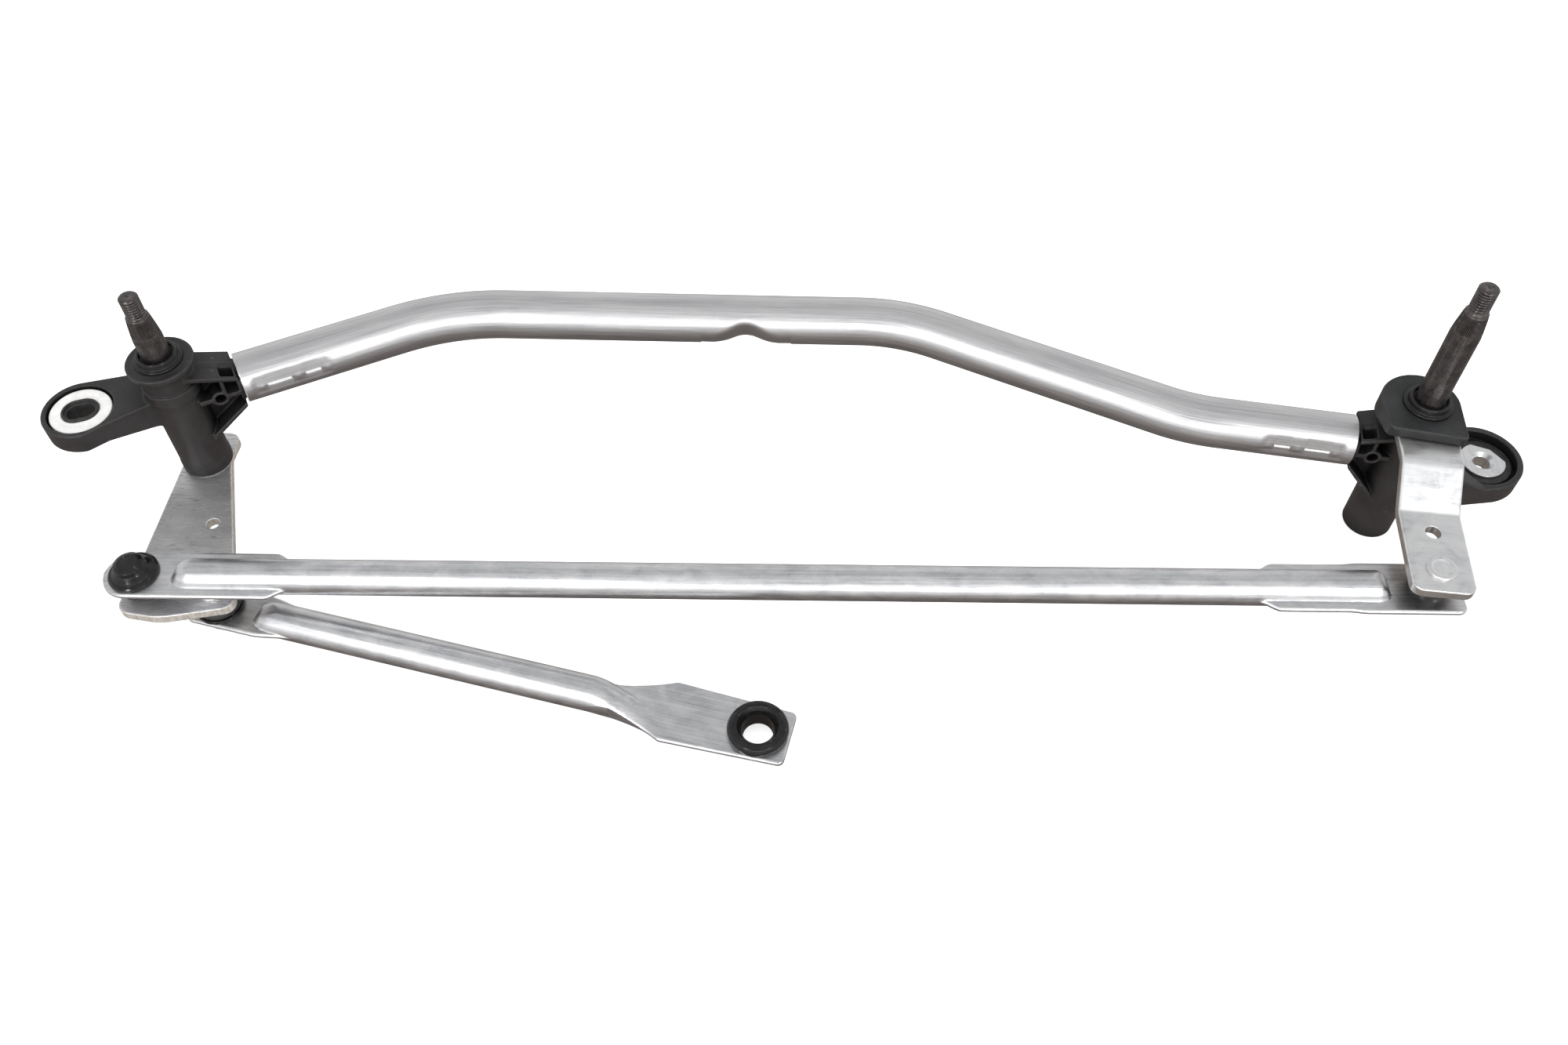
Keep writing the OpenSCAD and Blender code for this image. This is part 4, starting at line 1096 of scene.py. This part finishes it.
# ------------------------------------------------------------------ materials
class Nodes:
    """Short ways to add nodes to one tree."""
    def __init__(self, tree):
        self.tree = tree
        tree.nodes.clear()

    def put(self, socket, value):
        if isinstance(value, bpy.types.NodeSocket):
            self.tree.links.new(value, socket)
            return
        if isinstance(value, tuple) and len(value) == 3 and len(socket.default_value) == 4:
            value = (*value, 1)
        socket.default_value = value

    def add(self, kind, inputs=None, out=0, **props):
        node = self.tree.nodes.new("ShaderNode" + kind)
        for key, value in props.items():
            setattr(node, key, value)
        for key, value in (inputs or {}).items():
            self.put(node.inputs[key], value)
        return node.outputs[out] if node.outputs else None

    def surf(self):
        return self.add("Attribute", out="Vector", attribute_name="surf")

    def noise(self, source, scale, detail, rough, warp):
        mapped = self.add("Mapping", {"Vector": source, "Scale": scale})
        return self.add("TexNoise", {"Vector": mapped, "Scale": 1.0, "Detail": detail,
                                     "Roughness": rough, "Distortion": warp})

    def surf_noise(self, per_mm, detail, rough, warp=0.0):
        """Noise over the surf attribute."""
        return self.noise(self.surf(), per_mm, detail, rough, warp)

    def obj_noise(self, per_mm, detail, rough, warp=0.0):
        """Noise over object space; per_mm is one number or one for each axis."""
        per_axis = per_mm if isinstance(per_mm, tuple) else (per_mm,) * 3
        source = self.add("TexCoord", out="Object")
        return self.noise(source, tuple(1000.0 * c for c in per_axis), detail, rough, warp)

    def ramp(self, value, *stops):
        """Stops are (position, grey or colour)."""
        node = self.add("ValToRGB", {0: value}).node
        elements = node.color_ramp.elements
        while len(elements) < len(stops):
            elements.new(0.5)
        for i, (position, c) in enumerate(stops):
            elements[i].position = position
            elements[i].color = (*c, 1) if isinstance(c, tuple) else (c, c, c, 1)
        return node.outputs[0]

    def math(self, operation, a, b, c=0.0):
        return self.add("Math", {0: a, 1: b, 2: c}, operation=operation)

    def mul(self, a, b):
        return self.math("MULTIPLY", a, b)

    def weigh(self, *terms, plus=None):
        """Sum of (value, weight) terms and plus."""
        total = plus
        for value, weight in reversed(terms):
            if total is None:
                total = self.mul(value, weight)
            else:
                total = self.math("MULTIPLY_ADD", value, weight, total)
        return total

    def mix(self, amount, under, over):
        return self.add("Mix", {0: amount, 6: under, 7: over}, out=2, data_type="RGBA")

    def fade(self, value, start, end):
        """0 at start, 1 at end."""
        return self.add("MapRange", {"Value": value, "From Min": start, "From Max": end},
                        clamp=True)

    def xyz(self, vector):
        return self.add("SeparateXYZ", {0: vector}).node.outputs


class Material(Nodes):
    def __init__(self, name):
        self.material = bpy.data.materials.new(name)
        self.material.use_nodes = True
        super().__init__(self.material.node_tree)
        self.output = self.tree.nodes.new("ShaderNodeOutputMaterial")
        self.shader = self.tree.nodes.new("ShaderNodeBsdfPrincipled")
        self.tree.links.new(self.shader.outputs[0], self.output.inputs[0])

    def set(self, **values):
        for key, value in values.items():
            self.put(self.shader.inputs[key.replace("_", " ")], value)
        return self.material

    def bump(self, height, mm, strength):
        return self.add("Bump", {"Height": height, "Distance": mm * MM, "Strength": strength})

    def worn_edge(self, start, end):
        return self.fade(self.add("NewGeometry", out="Pointiness"), start, end)

    def side(self, start, end):
        """Grows as the surface turns away from facing up."""
        return self.fade(self.xyz(self.add("NewGeometry", out="Normal"))[2], start, end)


def drawn_aluminium(name):
    m = Material(name)
    coarse = m.surf_noise(per_mm=(0.014, 1.5, 1), detail=6, rough=0.62)
    fine = m.surf_noise(per_mm=(0.05, 5.5, 1), detail=4, rough=0.6)
    patch = m.surf_noise(per_mm=(0.035, 0.10, 1), detail=5, rough=0.6, warp=0.4)
    grain = m.surf_noise(per_mm=(1.3, 2.6, 1), detail=3, rough=0.7)
    streak = m.weigh((coarse, 0.62), (fine, 0.38))
    col = m.ramp(m.weigh((streak, 0.72), (patch, 0.16), (grain, 0.12)),
                 (0.36, (0.40, 0.40, 0.42)), (0.47, (0.68, 0.68, 0.70)),
                 (0.58, (0.86, 0.86, 0.855)))
    spots = m.ramp(m.surf_noise(per_mm=(0.28, 0.5, 1), detail=3, rough=0.5),
                   (0.70, 0.0), (0.80, 1.0))
    col = m.mix(m.mul(spots, 0.35), under=col, over=(0.36, 0.35, 0.35))
    return m.set(Base_Color=col, Metallic=1.0,
                 Roughness=m.weigh((streak, 0.35), (grain, 0.12), plus=0.14),
                 Normal=m.bump(m.weigh((streak, 1.0), (grain, 0.35)), mm=0.05, strength=0.85))


def zinc_plated_rod(name):
    m = Material(name)
    streak = m.surf_noise(per_mm=(0.02, 1.3, 1.3), detail=6, rough=0.65)
    blot = m.surf_noise(per_mm=(0.09, 0.16, 0.16), detail=6, rough=0.6, warp=0.6)
    speck = m.surf_noise(per_mm=(1.8, 1.8, 1.8), detail=3, rough=0.6)
    tone = m.weigh((streak, 0.45), (blot, 0.4), (speck, 0.15))
    col = m.ramp(tone, (0.35, (0.50, 0.51, 0.53)), (0.48, (0.74, 0.75, 0.77)),
                 (0.59, (0.90, 0.90, 0.91)))
    # darker noisy patches low on the rolled part
    low = m.fade(m.xyz(m.surf())[2], start=-2.5, end=-5.5)
    low_dark_patches = m.ramp(m.surf_noise(per_mm=(0.12, 0.7, 0.9), detail=5, rough=0.7),
                    (0.46, 0.0), (0.58, 1.0))
    col = m.mix(m.mul(m.mul(low, low_dark_patches), 0.75), under=col, over=(0.16, 0.155, 0.16))
    edge = m.worn_edge(start=0.535, end=0.60)
    col = m.mix(m.mul(edge, 0.45), under=col, over=(0.93, 0.93, 0.93))
    return m.set(Base_Color=col, Metallic=1.0, Roughness=m.weigh((tone, 0.35), plus=0.16),
                 Normal=m.bump(m.weigh((streak, 0.7), (speck, 0.5)), mm=0.05, strength=0.8))


def zinc_rolled_plate(name):
    m = Material(name)
    coarse = m.surf_noise(per_mm=(0.16, 1.9, 1.2), detail=5, rough=0.6)
    fine = m.surf_noise(per_mm=(0.35, 3.4, 2.2), detail=3, rough=0.6)
    broad = m.surf_noise(per_mm=(0.05, 0.09, 0.1), detail=4, rough=0.55)
    scratch = m.ramp(m.weigh((coarse, 0.6), (fine, 0.4)), (0.38, 0.0), (0.44, 0.6), (0.52, 1.0))
    dark = m.ramp(broad, (0.35, (0.26, 0.26, 0.27)), (0.65, (0.48, 0.48, 0.49)))
    light = m.ramp(broad, (0.35, (0.74, 0.745, 0.76)), (0.65, (0.90, 0.90, 0.91)))
    col = m.mix(scratch, under=dark, over=light)
    # cut edges are beige
    side = m.side(start=0.75, end=0.35)
    cut = m.surf_noise(per_mm=(0.9, 0.9, 0.25), detail=4, rough=0.6)
    beige = m.ramp(cut, (0.35, (0.50, 0.46, 0.41)), (0.65, (0.74, 0.70, 0.65)))
    col = m.mix(side, under=col, over=beige)
    height = m.math("ADD", scratch, m.mul(cut, m.mul(side, 0.8)))
    return m.set(Base_Color=col, Metallic=m.weigh((side, -0.35), plus=0.92),
                 Roughness=m.weigh((scratch, -0.12), plus=0.50),
                 Normal=m.bump(height, mm=0.06, strength=0.8))


def bright_zinc(name, use_surf=True):
    m = Material(name)
    noise = m.surf_noise if use_surf else m.obj_noise
    brush = noise(per_mm=(1.7, 0.07, 0.4), detail=5, rough=0.62)
    blot = noise(per_mm=(0.13, 0.11, 0.12), detail=6, rough=0.6, warp=0.7)
    speck = noise(per_mm=(2.4, 2.4, 2.4), detail=3, rough=0.6)
    tone = m.weigh((brush, 0.32), (blot, 0.5), (speck, 0.18))
    col = m.ramp(tone, (0.35, (0.66, 0.67, 0.69)), (0.48, (0.88, 0.89, 0.90)),
                 (0.60, (0.97, 0.97, 0.97)))
    side = m.side(start=0.45, end=0.1)
    col = m.mix(m.mul(side, 0.65), under=col, over=(0.66, 0.61, 0.56))
    return m.set(Base_Color=col, Metallic=0.96, Roughness=m.weigh((tone, 0.45), plus=0.10),
                 Normal=m.bump(m.weigh((brush, 0.6), (speck, 0.5)), mm=0.05, strength=0.7))


def moulded_plastic(name, base, grain_mm, warmth):
    """Dark plastic; warmth is how brown the sides turn."""
    m = Material(name)
    fine = m.obj_noise(per_mm=3.2, detail=3, rough=0.65)
    mid = m.obj_noise(per_mm=0.55, detail=5, rough=0.6)
    flow = m.obj_noise(per_mm=(0.06, 0.06, 0.10), detail=4, rough=0.55, warp=0.5)
    col = m.ramp(m.weigh((flow, 0.6), (mid, 0.4)), (0.35, tuple(c * 0.72 for c in base)),
                 (0.62, tuple(c * 1.30 for c in base)))
    brown = (base[0] * 1.05, base[1] * 0.80, base[2] * 0.72)
    col = m.mix(m.mul(m.side(start=0.55, end=-0.1), warmth), under=col, over=brown)
    edge = m.worn_edge(start=0.53, end=0.62)
    scuff = m.ramp(m.obj_noise(per_mm=0.9, detail=4, rough=0.7), (0.42, 0.25), (0.62, 1.0))
    col = m.mix(m.mul(m.mul(edge, scuff), 0.55), under=col, over=(0.17, 0.165, 0.16))
    # painted shade: ambient occlusion darkens the colour towards near-black in recesses and
    # creases, and weakens the reflections there too
    occlusion = m.add("AmbientOcclusion", {"Distance": 0.011}, out=1, samples=6)
    shade = m.math("POWER", occlusion, 1.25)
    # fine pale scratches
    scratch = m.ramp(m.obj_noise(per_mm=(0.20, 3.4, 1.1), detail=2, rough=0.5),
                     (0.735, 0.0), (0.76, 1.0))
    col = m.mix(m.mul(scratch, 0.35), under=col, over=(0.20, 0.20, 0.20))
    # painted shade: recesses fade to near-black
    col = m.mix(shade, under=(0.004, 0.004, 0.004), over=col)
    return m.set(Base_Color=col, Roughness=m.weigh((mid, 0.16), (flow, 0.10), plus=0.29),
                 Normal=m.bump(m.weigh((fine, 0.7), (mid, 0.5)), mm=grain_mm, strength=0.9),
                 Specular_IOR_Level=m.mul(shade, 0.42))


def housing_nylon(name):
    return moulded_plastic(name, base=(0.023, 0.0225, 0.023), grain_mm=0.03, warmth=0.5)


def cover_plastic(name):
    return moulded_plastic(name, base=(0.023, 0.024, 0.025), grain_mm=0.025, warmth=0.45)


def gloss_black_plastic(name):
    m = Material(name)
    mid = m.obj_noise(per_mm=0.35, detail=4, rough=0.5)
    fine = m.obj_noise(per_mm=2.6, detail=3, rough=0.6)
    dust = m.ramp(m.obj_noise(per_mm=3.4, detail=2, rough=0.6), (0.66, 0.0), (0.74, 1.0))
    col = m.ramp(mid, (0.35, (0.007, 0.007, 0.0075)), (0.65, (0.013, 0.0125, 0.0125)))
    edge = m.worn_edge(start=0.53, end=0.60)
    pale = m.math("MAXIMUM", m.mul(dust, 0.5), edge)
    col = m.mix(m.mul(pale, 0.3), under=col, over=(0.12, 0.12, 0.12))
    rough = m.ramp(m.weigh((mid, 0.7), (fine, 0.3)), (0.35, 0.13), (0.65, 0.24))
    return m.set(Base_Color=col, Roughness=rough, Specular_IOR_Level=0.28, Coat_Weight=0.22,
                 Coat_IOR=1.5, Coat_Roughness=0.16, Normal=m.bump(fine, mm=0.006, strength=0.4))


def white_plastic(name):
    m = Material(name)
    mid = m.obj_noise(per_mm=0.25, detail=5, rough=0.6)
    fine = m.obj_noise(per_mm=3.0, detail=3, rough=0.6)
    col = m.ramp(mid, (0.32, (0.80, 0.79, 0.77)), (0.6, (0.92, 0.92, 0.91)))
    return m.set(Base_Color=col, Roughness=m.weigh((mid, 0.2), plus=0.28),
                 Subsurface_Weight=0.15, Subsurface_Radius=(0.8, 0.7, 0.6),
                 Subsurface_Scale=0.001, Normal=m.bump(fine, mm=0.02, strength=0.6))


def seal_rubber(name):
    m = Material(name)
    mid = m.obj_noise(per_mm=0.6, detail=5, rough=0.65)
    fine = m.obj_noise(per_mm=3.6, detail=4, rough=0.7)
    dust = m.ramp(m.obj_noise(per_mm=1.6, detail=4, rough=0.7), (0.60, 0.0), (0.74, 1.0))
    col = m.ramp(mid, (0.35, (0.014, 0.014, 0.014)), (0.65, (0.034, 0.033, 0.032)))
    col = m.mix(m.mul(dust, 0.2), under=col, over=(0.12, 0.12, 0.115))
    return m.set(Base_Color=col, Roughness=m.weigh((mid, 0.22), plus=0.38),
                 Normal=m.bump(m.weigh((fine, 0.6), plus=mid), mm=0.05, strength=0.8))


def dark_spindle_steel(name):
    m = Material(name)
    streak = m.obj_noise(per_mm=(1.1, 1.1, 0.10), detail=5, rough=0.6)
    blot = m.obj_noise(per_mm=0.22, detail=6, rough=0.65, warp=0.6)
    speck = m.obj_noise(per_mm=1.5, detail=4, rough=0.7)
    col = m.ramp(m.weigh((blot, 0.6), (streak, 0.4)), (0.36, (0.050, 0.044, 0.043)),
                 (0.50, (0.085, 0.076, 0.074)), (0.62, (0.135, 0.122, 0.119)))
    bright = m.ramp(speck, (0.63, 0.0), (0.72, 1.0))
    col = m.mix(m.mul(bright, 0.16), under=col, over=(0.34, 0.32, 0.31))
    edge = m.worn_edge(start=0.53, end=0.58)
    col = m.mix(m.mul(edge, 0.6), under=col, over=(0.30, 0.285, 0.275))
    rough = m.ramp(m.weigh((blot, 0.5), (speck, 0.5)), (0.35, 0.20), (0.65, 0.34))
    return m.set(Base_Color=col, Metallic=0.80, Roughness=rough, Coat_Weight=0.25,
                 Coat_Roughness=0.18,
                 Normal=m.bump(m.weigh((speck, 0.5), (streak, 0.6)), mm=0.022, strength=0.7))


def sintered_bronze(name):
    m = Material(name)
    pore = m.obj_noise(per_mm=4.5, detail=4, rough=0.7)
    mid = m.obj_noise(per_mm=0.5, detail=5, rough=0.6)
    col = m.ramp(mid, (0.35, (0.36, 0.22, 0.10)), (0.65, (0.62, 0.42, 0.22)))
    dark = m.ramp(pore, (0.34, 1.0), (0.46, 0.0))
    col = m.mix(m.mul(dark, 0.6), under=col, over=(0.10, 0.06, 0.03))
    return m.set(Base_Color=col, Metallic=0.9, Roughness=m.weigh((pore, 0.3), plus=0.3),
                 Normal=m.bump(pore, mm=0.08, strength=0.8))


def bright_zinc_small(name):
    return bright_zinc(name, use_surf=False)


def pale_floor(name):
    m = Material(name)
    paper = m.obj_noise(per_mm=0.02, detail=3, rough=0.5)
    m.set(Base_Color=m.ramp(paper, (0.3, 0.93), (0.7, 0.95)), Roughness=0.9,
          Emission_Color=(1, 1, 1), Emission_Strength=0.62)
    # reflections see a darker floor, darkest when seen from straight above
    glossy = m.add("LightPath", out="Is Glossy Ray")
    steepness = m.xyz(m.add("NewGeometry", out="Incoming"))[2]
    deep = m.ramp(steepness, (0.0, (0.78, 0.77, 0.76)), (0.28, (0.46, 0.43, 0.415)),
                  (0.57, (0.24, 0.215, 0.20)), (0.84, (0.14, 0.118, 0.108)),
                  (1.0, (0.10, 0.084, 0.076)))
    reflected = m.add("Emission", {0: deep})
    mixed = m.add("MixShader", {0: glossy, 1: m.shader.outputs[0], 2: reflected})
    m.put(m.output.inputs[0], mixed)
    return m.material


def paint(obj, material):
    obj.data.materials.clear()
    obj.data.materials.append(material)


materials = {build.__name__: build(build.__name__) for build in (
    drawn_aluminium, zinc_plated_rod, zinc_rolled_plate, bright_zinc, bright_zinc_small,
    housing_nylon, cover_plastic, gloss_black_plastic, white_plastic, seal_rubber,
    dark_spindle_steel, sintered_bronze)}
# slots and pieces whose material does not share the slot's name
SLOT_MATERIALS = {"bright_zinc": "bright_zinc_small", "zinc_plated_steel": "bright_zinc_small"}
PIECE_MATERIALS = {
    "long_pressed_rod": "zinc_plated_rod", "drive_pressed_rod": "zinc_plated_rod",
    "left_lever_plate": "zinc_rolled_plate", "right_lever_plate": "bright_zinc",
    "right_ear_flanged_sleeve": "bright_zinc",
}
for name, (obj, slot) in made.items():
    paint(obj, materials[PIECE_MATERIALS.get(name, SLOT_MATERIALS.get(slot, slot))])
node_slots = {part["node"]: part["material_slot"] for part in frame["record"]["subparts"]}
for name, obj in frame["nodes"].items():
    slot = node_slots[name]
    paint(obj, materials[SLOT_MATERIALS.get(slot, slot)])


# ------------------------------------------------------------------ floor, light, camera
# from here on lengths are in metres
scene = bpy.context.scene
FLOOR_Z = (Z_SHIFT - 0.6) * MM
FLOOR_HALF = 6.0


def add_floor():
    mesh = bpy.data.meshes.new("floor")
    corners = [(x * FLOOR_HALF, y * FLOOR_HALF, FLOOR_Z)
               for x, y in ((-1, -1), (1, -1), (1, 1), (-1, 1))]
    mesh.from_pydata(corners, [], [(0, 1, 2, 3)])
    floor = bpy.data.objects.new("floor", mesh)
    scene.collection.objects.link(floor)
    paint(floor, pale_floor("pale_floor"))


def add_world():
    """Grey studio, graded by height, with a soft brighter band low at the front."""
    world = bpy.data.worlds.new("studio")
    scene.world = world
    world.use_nodes = True
    w = Nodes(world.node_tree)
    direction = w.xyz(w.add("TexCoord", out="Generated"))
    depth, height = direction[1], direction[2]
    front = w.ramp(height, (0.0, 0.82), (0.10, 0.78), (0.60, 0.64), (0.80, 0.58),
                   (0.93, 0.66), (1.0, 0.68))
    back = w.ramp(height, (0.0, 0.76), (0.34, 0.70), (0.70, 0.58), (0.93, 0.46), (1.0, 0.66))
    band = w.ramp(height, (0.02, 0.0), (0.10, 1.0), (0.42, 1.0), (0.60, 0.0))
    towards_front = w.fade(depth, start=-0.25, end=-0.62)
    towards_back = w.fade(depth, start=-0.12, end=0.12)
    base = w.mix(towards_back, under=front, over=back)
    glow = w.mul(w.mul(band, towards_front), 0.20)
    light = w.add("VectorMath", {0: base, 1: glow}, operation="ADD")
    w.add("OutputWorld", {0: w.add("Background", {0: light, 1: 1.0})})


def area(name, location, target, size, power):
    light = bpy.data.lights.new(name, "AREA")
    light.shape = "RECTANGLE"
    light.size, light.size_y = size
    light.energy = power
    obj = bpy.data.objects.new(name, light)
    scene.collection.objects.link(obj)
    obj.location = location
    aim = Vector(target) - Vector(location)
    obj.rotation_euler = aim.to_track_quat("-Z", "Y").to_euler()
    return obj


def add_lights():
    area("front_strip", location=(0.27, -1.65, 0.47), target=(0.27, 0.0, -0.06),
         size=(2.6, 0.11), power=8.0)
    area("key_left", location=(-0.45, -1.05, 0.85), target=(0.05, -0.03, -0.04),
         size=(0.20, 0.20), power=3.2)
    area("key_right", location=(1.0, -1.05, 0.85), target=(0.5, -0.03, -0.04),
         size=(0.20, 0.20), power=2.2)
    softbox = area("overhead_softbox", location=(0.27, -0.1, 1.5), target=(0.27, 0.0, 0.0),
                   size=(2.2, 1.2), power=12.0)
    softbox.visible_glossy = False


def add_camera():
    camera = bpy.data.cameras.new("camera")
    camera.lens, camera.sensor_width, camera.sensor_fit = 31.23, 36.0, "HORIZONTAL"
    camera.clip_start, camera.clip_end = 0.01, 50
    obj = bpy.data.objects.new("camera", camera)
    scene.collection.objects.link(obj)
    obj.location = (0.2765, -0.3996, 0.4893 + Z_SHIFT * MM)
    obj.rotation_euler = (math.radians(38.468), 0, math.radians(1.974))
    scene.camera = obj


add_floor()
add_world()
add_lights()
add_camera()
scene.view_settings.view_transform = "Standard"
scene.view_settings.look = "None"
scene.view_settings.exposure = 0.0
scene.view_settings.gamma = 1.0
